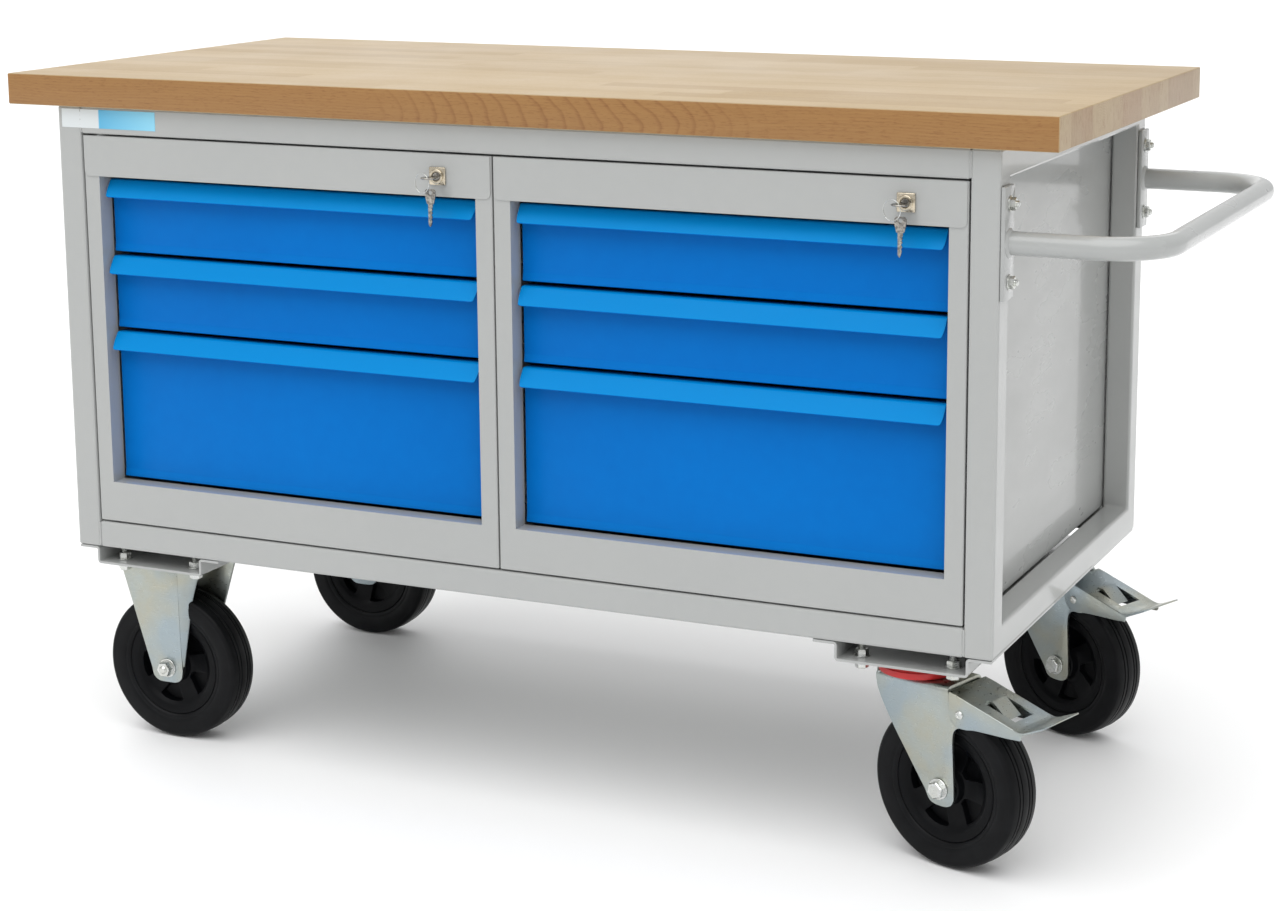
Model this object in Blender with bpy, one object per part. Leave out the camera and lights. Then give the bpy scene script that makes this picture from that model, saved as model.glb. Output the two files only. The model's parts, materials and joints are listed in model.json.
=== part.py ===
"""Mobile workbench: beech top, tube frame, two drawer cabinets, four casters.

Metres, +Z up. X runs along the bench, the push handle is at +X, the drawers
open toward -Y. The origin is on the floor under the middle of the whole box.
"""
import math

import bmesh
import bpy
from mathutils import Matrix, Vector

# ---- driving dimensions -------------------------------------------------
TOP_LENGTH = 1.400
TOP_DEPTH = 0.650
TOP_THICKNESS = 0.040
TOTAL_HEIGHT = 0.890

TUBE = 0.035
TUBE_WALL = 0.002
FRAME_HEIGHT = 0.583
END_OVERHANG = 0.068
FRONT_OVERHANG = 0.012
REAR_OVERHANG = 0.010

HANDLE_REACH = 0.188
HANDLE_TUBE = 0.027
HANDLE_BEND = 0.075
HANDLE_DROP = 0.1055
HANDLE_PLATE = (0.005, 0.035, 0.128)

CHANNEL_HEIGHT = 0.023
CHANNEL_WEB = 0.163
CHANNEL_FLANGE = 0.027
CHANNEL_SHEET = 0.003
CHANNEL_INSET = 0.029
CHANNEL_SETBACK = 0.0006

WHEEL_RADIUS = 0.100
WHEEL_WIDTH = 0.050
RIM_RADIUS = 0.068
HUB_RADIUS = 0.021
AXLE_RADIUS = 0.006
TRAIL = 0.055
PLATE_LENGTH = 0.140
PLATE_WIDTH = 0.105
PLATE_HOLES = (0.056, 0.040)
PLATE_SHEET = 0.004
FORK_INSIDE = 0.030
FORK_SHEET = 0.004
FRONT_SWIVEL_TURN = math.radians(-17.0)
REAR_SWIVEL_TURN = math.radians(-22.0)
PEDAL_PIVOT = (0.085, 0.197)

REVEAL = 0.002
TOUCH = 0.0003
FASCIA_DEPTH = 0.026
FASCIA_SHEET = 0.0015
STILE = 0.0225
HEAD_RAIL = 0.052
FOOT_RAIL = 0.053
SHELL_SHEET = 0.0012

DRAWER_RECESS = 0.025
DRAWER_GAP = 0.0055
DRAWER_PITCHES = (0.100, 0.100, 0.200)
DRAWER_BOX_WIDTH = 0.520
DRAWER_BOX_DEPTH = 0.540
DRAWER_SHEET = 0.0012
LIP_HEIGHT = 0.021
LIP_REACH = 0.022
PAN_DEPTH = 0.014

LOCK_INSET = 0.072
LOCK_DROP = 0.027
LOCK_PLATE = 0.022
KEY_PROUD = 0.020

# ---- positions that follow from them -------------------------------------
LENGTH = TOP_LENGTH - END_OVERHANG + HANDLE_REACH
DEPTH = TOP_DEPTH + KEY_PROUD
TOP_X0 = -LENGTH / 2
TOP_X1 = TOP_X0 + TOP_LENGTH
TOP_Y1 = DEPTH / 2
TOP_Y0 = TOP_Y1 - TOP_DEPTH

FRAME_X0 = TOP_X0 + END_OVERHANG
FRAME_X1 = TOP_X1 - END_OVERHANG
FRAME_Y0 = TOP_Y0 + FRONT_OVERHANG
FRAME_Y1 = TOP_Y1 - REAR_OVERHANG
FRAME_Z1 = TOTAL_HEIGHT - TOP_THICKNESS
FRAME_Z0 = FRAME_Z1 - FRAME_HEIGHT

BAY_X0 = FRAME_X0 + TUBE
BAY_X1 = FRAME_X1 - TUBE
CABINET_WIDTH = (BAY_X1 - BAY_X0 - 3 * REVEAL) / 2
CABINET_Z0 = FRAME_Z0 + TUBE + REVEAL
CABINET_Z1 = FRAME_Z1 - TUBE - REVEAL
CABINET_X0 = {"left": BAY_X0 + REVEAL, "right": BAY_X1 - REVEAL - CABINET_WIDTH}
SHELL_Y0 = FRAME_Y0 + FASCIA_DEPTH + TOUCH
SHELL_Y1 = FRAME_Y1 - 0.004
OPENING_Z0 = CABINET_Z0 + FOOT_RAIL
OPENING_Z1 = CABINET_Z1 - HEAD_RAIL

CASTER_TOP = FRAME_Z0 - CHANNEL_HEIGHT - 2 * TOUCH
CASTER_SIDE = CHANNEL_INSET + CHANNEL_WEB / 2
CASTER_X = {"left": FRAME_X0 + CASTER_SIDE, "right": FRAME_X1 - CASTER_SIDE}
CASTER_END = 0.065
CASTER_Y = {"front": FRAME_Y0 + CASTER_END, "rear": FRAME_Y1 - CASTER_END}
FORK_TOP = CASTER_TOP - 0.018
LOCK_Z = CABINET_Z1 - LOCK_DROP


# ---- materials -------------------------------------------------------------
def material(name, colour, roughness, metallic=0.0):
    mat = bpy.data.materials.new(name)
    mat.use_nodes = True
    shader = mat.node_tree.nodes["Principled BSDF"]
    shader.inputs["Base Color"].default_value = (*colour, 1.0)
    shader.inputs["Roughness"].default_value = roughness
    shader.inputs["Metallic"].default_value = metallic
    return mat


# ---- shape helpers -----------------------------------------------------------
def finish_mesh(name, bm):
    bmesh.ops.recalc_face_normals(bm, faces=bm.faces)
    mesh = bpy.data.meshes.new(name)
    bm.to_mesh(mesh)
    bm.free()
    obj = bpy.data.objects.new(name, mesh)
    bpy.context.scene.collection.objects.link(obj)
    return obj


def box(x0, x1, y0, y1, z0, z1):
    bm = bmesh.new()
    bmesh.ops.create_cube(bm, size=1.0)
    size = Vector((x1 - x0, y1 - y0, z1 - z0))
    centre = Vector((x1 + x0, y1 + y0, z1 + z0)) / 2
    bmesh.ops.scale(bm, vec=size, verts=bm.verts)
    bmesh.ops.translate(bm, vec=centre, verts=bm.verts)
    return finish_mesh("box", bm)


def prism(outline, axis, start, end):
    """Extrude an outline along an axis; its two numbers are the other two axes."""
    order = {"X": (2, 0, 1), "Y": (0, 2, 1), "Z": (0, 1, 2)}[axis]
    bm = bmesh.new()
    verts = []
    for point in outline:
        values = (point[0], point[1], start)
        verts.append(bm.verts.new([values[i] for i in order]))
    face = bm.faces.new(verts)
    made = bmesh.ops.extrude_face_region(bm, geom=[face])
    moved = [item for item in made["geom"] if isinstance(item, bmesh.types.BMVert)]
    shift = Vector()
    shift["XYZ".index(axis)] = end - start
    bmesh.ops.translate(bm, vec=shift, verts=moved)
    return finish_mesh("prism", bm)


def turned(profile, segments, axis="Y"):
    """Spin a closed (radius, height) outline about an axis through the origin."""
    bm = bmesh.new()
    rings = []
    for step in range(segments):
        angle = 2 * math.pi * step / segments
        ring = []
        for radius, height in profile:
            u = radius * math.cos(angle)
            v = radius * math.sin(angle)
            place = {"Y": (u, height, v), "Z": (u, v, height)}[axis]
            ring.append(bm.verts.new(place))
        rings.append(ring)
    for step in range(segments):
        here = rings[step]
        there = rings[(step + 1) % segments]
        for i in range(len(profile)):
            j = (i + 1) % len(profile)
            bm.faces.new((here[i], here[j], there[j], there[i]))
    return finish_mesh("turned", bm)


def rod(radius, start, end, segments=24, axis="Y"):
    bm = bmesh.new()
    bmesh.ops.create_cone(bm, cap_ends=True, segments=segments, radius1=radius,
                          radius2=radius, depth=end - start)
    bmesh.ops.translate(bm, vec=(0, 0, (start + end) / 2), verts=bm.verts)
    turns = {"X": Matrix.Rotation(math.pi / 2, 3, "Y"),
             "Y": Matrix.Rotation(-math.pi / 2, 3, "X"),
             "Z": Matrix.Identity(3)}
    bmesh.ops.rotate(bm, matrix=turns[axis], verts=bm.verts)
    return finish_mesh("rod", bm)


def swept(path, radius, segments=12):
    """Round bar along a flat path of points in the XY plane."""
    bm = bmesh.new()
    rings = []
    for i, point in enumerate(path):
        before = Vector(path[max(i - 1, 0)])
        after = Vector(path[min(i + 1, len(path) - 1)])
        along = (after - before).normalized()
        side = along.cross(Vector((0, 0, 1)))
        ring = []
        for step in range(segments):
            angle = 2 * math.pi * step / segments
            out = side * math.cos(angle) + Vector((0, 0, 1)) * math.sin(angle)
            ring.append(bm.verts.new(Vector(point) + out * radius))
        rings.append(ring)
    for here, there in zip(rings, rings[1:]):
        for i in range(segments):
            j = (i + 1) % segments
            bm.faces.new((here[i], here[j], there[j], there[i]))
    bm.faces.new(rings[0])
    bm.faces.new(rings[-1])
    return finish_mesh("swept", bm)


def moved(obj, offset):
    obj.data.transform(Matrix.Translation(offset))
    return obj


def arc(centre, radius, start, end, steps):
    """Points on a circle between two angles in degrees."""
    points = []
    for i in range(steps + 1):
        angle = math.radians(start + (end - start) * i / steps)
        points.append((centre[0] + radius * math.cos(angle),
                       centre[1] + radius * math.sin(angle)))
    return points


def round_edges(obj, width, segments=2, angle=50):
    bevel = obj.modifiers.new("round_edges", "BEVEL")
    bevel.width = width
    bevel.segments = segments
    bevel.limit_method = "ANGLE"
    bevel.angle_limit = math.radians(angle)
    return bake(obj)


def bake(obj):
    """Apply the modifiers of an object to its own mesh."""
    graph = bpy.context.evaluated_depsgraph_get()
    mesh = bpy.data.meshes.new_from_object(obj.evaluated_get(graph))
    obj.modifiers.clear()
    obj.data = mesh
    return obj


def combine(base, tools, operation):
    for tool in tools:
        step = base.modifiers.new("combine", "BOOLEAN")
        step.operation = operation
        step.solver = "EXACT"
        step.object = tool
    bake(base)
    for tool in tools:
        bpy.data.objects.remove(tool, do_unlink=True)
    return base


def joined(base, *tools):
    return combine(base, tools, "UNION")


def cut(base, *tools):
    return combine(base, tools, "DIFFERENCE")


def part(name, obj, mat, at=None, parent=None):
    """Name a finished piece, give it its material and put its origin at a point."""
    obj.name = name
    obj.data.name = name
    obj.data.materials.clear()
    obj.data.materials.append(mat)
    if at is not None:
        obj.data.transform(Matrix.Translation(-Vector(at)))
        obj.location = at
    if parent is not None:
        obj.parent = parent
    obj.data.shade_smooth()
    obj.data.set_sharp_from_angle(angle=math.radians(35))
    return obj


def empty(name, location, turn=0.0):
    obj = bpy.data.objects.new(name, None)
    obj.location = location
    obj.rotation_euler = (0, 0, turn)
    bpy.context.scene.collection.objects.link(obj)
    return obj


# ---- worktop and frame ---------------------------------------------------------
def worktop(mat):
    slab = box(TOP_X0, TOP_X1, TOP_Y0, TOP_Y1, FRAME_Z1 + TOUCH, TOTAL_HEIGHT)
    part("worktop", round_edges(slab, 0.0015, 1), mat)


def end_frame(name, x0, mat):
    """Welded rectangle of square tube; the posts are open at the top."""
    x1 = x0 + TUBE
    ring = box(x0, x1, FRAME_Y0, FRAME_Y1, FRAME_Z0, FRAME_Z1)
    window = box(x0 - 0.01, x1 + 0.01, FRAME_Y0 + TUBE, FRAME_Y1 - TUBE,
                 FRAME_Z0 + TUBE, FRAME_Z1 - TUBE)
    round_edges(cut(ring, window), 0.003)
    w = TUBE_WALL
    hollow = box(x0 + w, x1 - w, FRAME_Y0 + w, FRAME_Y1 - w, FRAME_Z0 + w, FRAME_Z1 - w)
    core = box(x0, x1, FRAME_Y0 + TUBE - w, FRAME_Y1 - TUBE + w,
               FRAME_Z0 + TUBE - w, FRAME_Z1 - TUBE + w)
    cut(hollow, core)
    front = box(x0 + w, x1 - w, FRAME_Y0 + w, FRAME_Y0 + TUBE - w,
                FRAME_Z1 - 0.02, FRAME_Z1 + 0.01)
    rear = box(x0 + w, x1 - w, FRAME_Y1 - TUBE + w, FRAME_Y1 - w,
               FRAME_Z1 - 0.02, FRAME_Z1 + 0.01)
    part(name, cut(ring, joined(hollow, front, rear)), mat)


def rail(name, y0, z0, mat):
    """Square tube between the end frames, open at both ends."""
    x0 = BAY_X0 + TOUCH
    x1 = BAY_X1 - TOUCH
    tube = round_edges(box(x0, x1, y0, y0 + TUBE, z0, z0 + TUBE), 0.003)
    w = TUBE_WALL
    bore = box(x0 - 0.01, x1 + 0.01, y0 + w, y0 + TUBE - w, z0 + w, z0 + TUBE - w)
    part(name, cut(tube, bore), mat)


def channel(name, x, mat):
    """Hat section: web below for the caster plates, flanges under the frame."""
    half = CHANNEL_WEB / 2
    t = CHANNEL_SHEET
    z1 = FRAME_Z0 - TOUCH
    z0 = z1 - CHANNEL_HEIGHT
    right = [(x + half + CHANNEL_FLANGE, z1), (x + half - t, z1), (x + half - t, z0 + t)]
    left = [(2 * x - px, pz) for px, pz in reversed(right)]
    under_left = [(x - half - CHANNEL_FLANGE, z1 - t), (x - half, z1 - t), (x - half, z0)]
    under_right = [(2 * x - px, pz) for px, pz in reversed(under_left)]
    outline = right + left + under_left + under_right
    body = prism(outline, "Y", FRAME_Y0 + CHANNEL_SETBACK, FRAME_Y1 - CHANNEL_SETBACK)
    part(name, body, mat)


# ---- casters ----------------------------------------------------------------------
def wheel(prefix, holder, centre, mats):
    """Rim, tyre and axle about the holder's local Y axis through centre."""
    hub = 0.028
    rim_profile = [
        (0.0068, -hub), (HUB_RADIUS, -hub), (HUB_RADIUS, -0.008),
        (0.054, -0.008), (0.056, -0.020), (RIM_RADIUS, -0.021),
        (RIM_RADIUS, 0.021), (0.056, 0.020), (0.054, 0.008),
        (HUB_RADIUS, 0.008), (HUB_RADIUS, hub), (0.0068, hub)]
    half = WHEEL_WIDTH / 2
    inner = RIM_RADIUS + TOUCH
    tyre_profile = [
        (inner, -0.021), (0.077, -half), (0.090, -half), (0.0975, -half + 0.006),
        (WHEEL_RADIUS, 0.0), (0.0975, half - 0.006), (0.090, half),
        (0.077, half), (inner, 0.021)]
    rim = part(prefix + "_rim", turned(rim_profile, 24), mats["rim"], parent=holder)
    tyre = part(prefix + "_tyre", turned(tyre_profile, 36), mats["tyre"], parent=holder)
    grip = FORK_INSIDE + FORK_SHEET
    bolt = joined(rod(AXLE_RADIUS, -grip - 0.012, grip + 0.012, 12),
                  moved(rod(0.0095, -0.0035, 0.0035, 6), (0, grip + 0.004, 0)),
                  moved(rod(0.0095, -0.0035, 0.0035, 6), (0, -grip - 0.004, 0)))
    axle = part(prefix + "_axle", bolt, mats["zinc"], parent=holder)
    for piece in (rim, tyre, axle):
        piece.location = centre


def axle_hole(centre):
    hole = rod(AXLE_RADIUS + 0.0006, -0.08, 0.08, 12)
    return moved(hole, centre)


def plate_holes(centre_z):
    holes = []
    for sx in (-1, 1):
        for sy in (-1, 1):
            hole = rod(0.0055, -0.02, 0.02, 8, "Z")
            holes.append(moved(hole, (sx * PLATE_HOLES[0], sy * PLATE_HOLES[1], centre_z)))
    return holes


def top_plate_slab(z1):
    half_x = PLATE_LENGTH / 2
    half_y = PLATE_WIDTH / 2
    corner = 0.008
    outline = (arc((half_x - corner, half_y - corner), corner, 0, 90, 2)
               + arc((corner - half_x, half_y - corner), corner, 90, 180, 2)
               + arc((corner - half_x, corner - half_y), corner, 180, 270, 2)
               + arc((half_x - corner, corner - half_y), corner, 270, 360, 2))
    return prism(outline, "Z", z1 - PLATE_SHEET, z1)


def legs(outline):
    inside = FORK_INSIDE
    outside = FORK_INSIDE + FORK_SHEET
    return [prism(outline, "Y", inside, outside), prism(outline, "Y", -outside, -inside)]


def mirrored(outline):
    return [(-px, pz) for px, pz in reversed(outline)]


def fixed_caster(prefix, x, y, mats):
    """Plate with a leg each side; each leg leans out on opposite sides."""
    holder = empty(prefix + "_base", (x, y, 0))
    z1 = CASTER_TOP
    top = z1 - PLATE_SHEET + 0.001
    outline = [(-0.0245, 0.0975), (-0.0215, 0.0865), (-0.0140, 0.0805), (0.0140, 0.0805),
               (0.0215, 0.0865), (0.0245, 0.0975), (0.0280, 0.117), (0.0310, 0.157),
               (0.0350, 0.197), (0.0390, 0.217), (0.0450, top), (-0.0690, top)]
    near = prism(outline, "Y", -FORK_INSIDE - FORK_SHEET, -FORK_INSIDE)
    far = prism(mirrored(outline), "Y", FORK_INSIDE, FORK_INSIDE + FORK_SHEET)
    bracket = joined(top_plate_slab(z1), near, far)
    cut(bracket, axle_hole((0, 0, WHEEL_RADIUS)), *plate_holes(z1))
    part(prefix + "_bracket", bracket, mats["zinc"], parent=holder)
    wheel(prefix, holder, (0, 0, WHEEL_RADIUS), mats)


def swivel_caster(prefix, x, y, turn, mats):
    fixed = empty(prefix + "_mount", (x, y, 0))
    z1 = CASTER_TOP
    plate = cut(top_plate_slab(z1), *plate_holes(z1))
    part(prefix + "_top_plate", plate, mats["zinc"], parent=fixed)
    ring_top = z1 - PLATE_SHEET - TOUCH
    ring = [(0.020, FORK_TOP + TOUCH), (0.0465, FORK_TOP + TOUCH), (0.048, ring_top - 0.004),
            (0.044, ring_top), (0.020, ring_top)]
    part(prefix + "_dust_ring", turned(ring, 24, "Z"), mats["ring"], parent=fixed)
    holder = empty(prefix + "_swivel", (x, y, 0), turn)
    part(prefix + "_fork", fork(), mats["zinc"], parent=holder)
    part(prefix + "_pedal", pedal(), mats["zinc"],
         at=(PEDAL_PIVOT[0], 0, PEDAL_PIVOT[1]), parent=holder)
    wheel(prefix, holder, (TRAIL, 0, WHEEL_RADIUS), mats)


def fork():
    """Crown plate, round at the front, and two legs that lean back to the axle."""
    top = FORK_TOP
    tip = [(0.0375, 0.0945), (0.0410, 0.0870), (0.0470, 0.0815), (0.0660, 0.0805),
           (0.0735, 0.0840), (0.0765, 0.0910)]
    back = [(0.0755, 0.120), (0.0735, 0.160), (0.0765, 0.1765), (0.084, 0.180),
            (0.0905, 0.185), (0.0920, 0.196), (0.0880, 0.206), (0.0790, 0.2115),
            (0.0690, 0.2150), (0.066, top - 0.004), (0.066, top)]
    front = [(-0.036, top), (-0.0345, 0.208), (-0.0260, 0.190), (-0.0100, 0.163),
             (0.0080, 0.137), (0.0240, 0.113)]
    half = FORK_INSIDE + FORK_SHEET
    crown = prism([(0.066, -half), (0.066, half)] + arc((0, 0), 0.0485, 135.5, 224.5, 6),
                  "Z", top - FORK_SHEET, top)
    body = joined(crown, *legs(tip + back + front))
    return cut(body, axle_hole((TRAIL, 0, WHEEL_RADIUS)))


def pedal():
    """Brake pedal: two cheeks outside the fork, a slotted bridge and a foot lip."""
    near = FORK_INSIDE + FORK_SHEET + 0.0005
    far = near + 0.0025
    nose = [(0.0690, 0.2090), (0.0700, 0.1960), (0.0735, 0.1870), (0.0810, 0.1815)]
    top_edge = [(0.0690, 0.2222), (0.0955, 0.2150), (0.1247, 0.2065), (0.168, 0.1935)]
    low_edge = [(0.168, 0.1845), (0.150, 0.1835), (0.120, 0.1832), (0.104, 0.1825),
                (0.093, 0.1805)]
    cheek = low_edge + nose[::-1] + top_edge
    left = prism(cheek, "Y", near, far)
    right = prism(cheek, "Y", -far, -near)
    bridge_low = [(px, pz - 0.0025) for px, pz in reversed(top_edge)]
    bridge = prism(top_edge + bridge_low, "Y", -far, far)
    lip_top = [(0.164, 0.1938), (0.198, 0.2068)]
    lip_low = [(0.1985, 0.2040), (0.164, 0.1898)]
    lip = prism(lip_top + lip_low, "Y", -far, far)
    slot = box(0.110, 0.142, -0.016, 0.016, 0.150, 0.230)
    return cut(joined(bridge, left, right, lip), slot)


# ---- push handle ------------------------------------------------------------------
def handle_path(z, y0, y1, x0):
    """Half-round-cornered U in plan, from one end plate to the other."""
    x1 = FRAME_X1 + HANDLE_REACH - HANDLE_TUBE / 2
    r = HANDLE_BEND
    near = arc((x1 - r, y0 + r), r, -90, 0, 6)
    far = arc((x1 - r, y1 - r), r, 0, 90, 6)
    flat = [(x0, y0)] + near + far + [(x0, y1)]
    return [(px, py, z) for px, py in flat]


def push_handle(mat):
    z = FRAME_Z1 - HANDLE_DROP
    y0 = FRAME_Y0 + TUBE / 2
    y1 = FRAME_Y1 - TUBE / 2
    plate_x, plate_y, plate_z = HANDLE_PLATE
    x0 = FRAME_X1 + TOUCH
    bar = swept(handle_path(z, y0, y1, x0 + 0.001), HANDLE_TUBE / 2)
    plates = []
    for y in (y0, y1):
        plates.append(box(x0, x0 + plate_x, y - plate_y / 2, y + plate_y / 2,
                          z - plate_z / 2, z + plate_z / 2))
    bore = swept(handle_path(z, y0, y1, x0 - 0.002), HANDLE_TUBE / 2 - 0.002)
    part("push_handle", cut(joined(bar, *plates), bore), mat)


# ---- cabinets ----------------------------------------------------------------------
def cabinet_shell(side, mat):
    """Sheet box, open at the front."""
    x0 = CABINET_X0[side]
    x1 = x0 + CABINET_WIDTH
    z0 = FRAME_Z0 + TUBE + TOUCH
    s = SHELL_SHEET
    outer = box(x0, x1, SHELL_Y0, SHELL_Y1, z0, CABINET_Z1)
    inner = box(x0 + s, x1 - s, SHELL_Y0 - 0.01, SHELL_Y1 - s, z0 + s, CABINET_Z1 - s)
    part(side + "_cabinet_shell", cut(outer, inner), mat)


def cabinet_fascia(side, mat):
    """Folded front frame; the head rail stands proud and carries the lock."""
    x0 = CABINET_X0[side]
    x1 = x0 + CABINET_WIDTH
    y0 = FRAME_Y0 + FASCIA_SHEET
    y1 = FRAME_Y0 + FASCIA_DEPTH
    s = FASCIA_SHEET
    frame = box(x0, x1, y0, y1, CABINET_Z0, CABINET_Z1)
    opening = box(x0 + STILE, x1 - STILE, y0 - 0.01, y1 + 0.01, OPENING_Z0, OPENING_Z1)
    pocket = box(x0 + s, x1 - s, y0 + s, y1 + 0.01, CABINET_Z0 + s, CABINET_Z1 - s)
    keep = box(x0 + STILE - s, x1 - STILE + s, y0, y1 + 0.02,
               OPENING_Z0 - s, OPENING_Z1 + s)
    cut(pocket, keep)
    cut(round_edges(frame, 0.001, 1), opening, pocket)
    head = prism(head_outline(x0 + 0.0015, x1 - 0.0015), "Y", FRAME_Y0, y0 + s)
    lock = moved(rod(0.0094, -0.02, 0.02, 16), (lock_x(side), FRAME_Y0, LOCK_Z))
    part(side + "_cabinet_fascia", cut(joined(frame, head), lock), mat)


def head_outline(x0, x1):
    corner = 0.007
    z0 = OPENING_Z1
    z1 = CABINET_Z1 - 0.0005
    low_right = arc((x1 - corner, z0 + corner), corner, 270, 360, 4)
    low_left = arc((x0 + corner, z0 + corner), corner, 180, 270, 4)
    return low_left + low_right + [(x1, z1), (x0, z1)]


def lock_x(side):
    return CABINET_X0[side] + CABINET_WIDTH - LOCK_INSET


def runner_ladder(side, hand, mat):
    """Two uprights and three angle rails on one inner wall of a cabinet."""
    sign = -1 if hand == "left" else 1
    middle = CABINET_X0[side] + CABINET_WIDTH / 2
    wall = middle + sign * (CABINET_WIDTH / 2 - SHELL_SHEET - TOUCH)
    edge = middle + sign * (DRAWER_BOX_WIDTH / 2 + 0.002)
    back = wall - sign * 0.012
    pieces = []
    for y in (SHELL_Y0 + 0.012, SHELL_Y1 - 0.110):
        pieces.append(span_box(wall, back, y, y + 0.030, CABINET_Z0 + 0.006, OPENING_Z1))
    y0 = SHELL_Y0 + 0.016
    y1 = SHELL_Y1 - 0.060
    for z in drawer_floors():
        ledge = z + 0.018
        outer = back + sign * 0.001
        inner = back - sign * 0.001
        angle = [(outer, ledge), (edge, ledge), (edge, ledge + 0.002),
                 (inner, ledge + 0.002), (inner, ledge + 0.026), (outer, ledge + 0.026)]
        pieces.append(prism(angle, "Y", y0, y1))
    body = joined(pieces[0], *pieces[1:])
    part(side + "_cabinet_runners_" + hand, body, mat)


def span_box(xa, xb, y0, y1, z0, z1):
    return box(min(xa, xb), max(xa, xb), y0, y1, z0, z1)


def drawer_floors():
    """Underside height of each drawer front, top drawer first."""
    floors = []
    top = OPENING_Z1
    for pitch in DRAWER_PITCHES:
        floors.append(top - pitch)
        top -= pitch
    return floors


def drawer_front(name, side, z0, height, mat):
    """Folded pan: flat face, bottom fold, side returns and a flared pull lip."""
    x0 = CABINET_X0[side] + STILE + 0.003
    x1 = CABINET_X0[side] + CABINET_WIDTH - STILE - 0.003
    y = FRAME_Y0 + DRAWER_RECESS
    z1 = z0 + height
    s = DRAWER_SHEET
    panel = [(y, z0 + 0.011), (y, z1 - s), (y - 0.004, z1 - s), (y - 0.004, z1),
             (y + PAN_DEPTH, z1), (y + PAN_DEPTH, z1 - s), (y + s, z1 - s),
             (y + s, z0 + 0.011), (y + 0.0045, z0 + s), (y + PAN_DEPTH, z0 + s),
             (y + PAN_DEPTH, z0), (y + 0.0035, z0)]
    body = prism(panel, "X", x0, x1)
    lip = prism(lip_outline(y, z1), "X", x0 + 0.001, x1 - 0.001)
    ends = [box(x0, x0 + s, y + s / 2, y + PAN_DEPTH, z0 + 0.012, z1 - s / 2),
            box(x1 - s, x1, y + s / 2, y + PAN_DEPTH, z0 + 0.012, z1 - s / 2)]
    part(name, joined(body, lip, *ends), mat)


def lip_outline(y, z1):
    """Lip section: it folds forward at the top, then flares out as it drops."""
    outer = []
    inner = []
    steps = 5
    for i in range(steps + 1):
        f = i / steps
        py = y - 0.004 - (LIP_REACH - 0.004) * (0.45 * f + 0.55 * f * f)
        pz = z1 - LIP_HEIGHT * f
        outer.append((py, pz))
        inner.append((py + 0.0018, pz - 0.0004))
    inner[0] = (y - 0.002, z1 - 0.001)
    outer[0] = (y - 0.002, z1)
    return outer + list(reversed(inner))


def drawer_box(name, side, z0, height, mat):
    """Open tray behind the front, with a runner flange along each side."""
    middle = CABINET_X0[side] + CABINET_WIDTH / 2
    half = DRAWER_BOX_WIDTH / 2
    y0 = FRAME_Y0 + DRAWER_RECESS + PAN_DEPTH + TOUCH
    y1 = y0 + DRAWER_BOX_DEPTH
    base = z0 + 0.006
    top = z0 + height - 0.018
    s = DRAWER_SHEET
    outer = box(middle - half, middle + half, y0, y1, base, top)
    inner = box(middle - half + s, middle + half - s, y0 + s, y1 - s, base + s, top + 0.01)
    tray = cut(outer, inner)
    flanges = []
    z = z0 + 0.018 + 0.0025
    for sign in (-1, 1):
        near = middle + sign * (half - s / 2)
        far = middle + sign * (half + 0.0125)
        angle = [(near, z), (far, z), (far, z + 0.016), (far - sign * s, z + 0.016),
                 (far - sign * s, z + s), (near, z + s)]
        flanges.append(prism(angle, "Y", y0 + 0.004, y1 - 0.004))
    part(name, joined(tray, *flanges), mat)


def lock(side, mats):
    """Square lock plate and barrel, key, and the bar that blocks the drawers."""
    x = lock_x(side)
    y0 = FRAME_Y0 - TOUCH
    half = LOCK_PLATE / 2
    plate = box(x - half, x + half, y0 - 0.003, y0, LOCK_Z - half, LOCK_Z + half)
    barrel = moved(rod(0.0088, -0.0055, 0.022, 16), (x, y0, LOCK_Z))
    plug_bore = moved(rod(0.0047, -0.02, 0.016, 16), (x, y0, LOCK_Z))
    body = cut(joined(round_edges(plate, 0.0012, 1), barrel), plug_bore)
    part(side + "_lock_body", body, mats["nickel"])
    part(side + "_lock_key", key_in_lock(x, y0), mats["nickel"], at=(x, y0, LOCK_Z))
    bar_x = CABINET_X0[side] + CABINET_WIDTH - STILE + 0.002
    bar_y = SHELL_Y0 + 0.003
    bar = box(bar_x, bar_x + 0.0055, bar_y, bar_y + 0.003, OPENING_Z0 + 0.012, LOCK_Z)
    part(side + "_lock_bar", bar, mats["zinc"])


def key_in_lock(x, y0):
    """Flat key lying level: a blade in the plug bore and a round bow in front."""
    bow_y = TOP_Y0 - KEY_PROUD + 0.010
    z0 = LOCK_Z - 0.0009
    z1 = LOCK_Z + 0.0009
    blade = box(x - 0.0038, x + 0.0038, bow_y + 0.006, y0 + 0.012, z0, z1)
    bow = moved(rod(0.010, -0.0009, 0.0009, 16, "Z"), (x, bow_y, LOCK_Z))
    hole = moved(rod(0.0025, -0.01, 0.01, 8, "Z"), (x, bow_y - 0.004, LOCK_Z))
    return cut(joined(bow, blade), hole)


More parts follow.
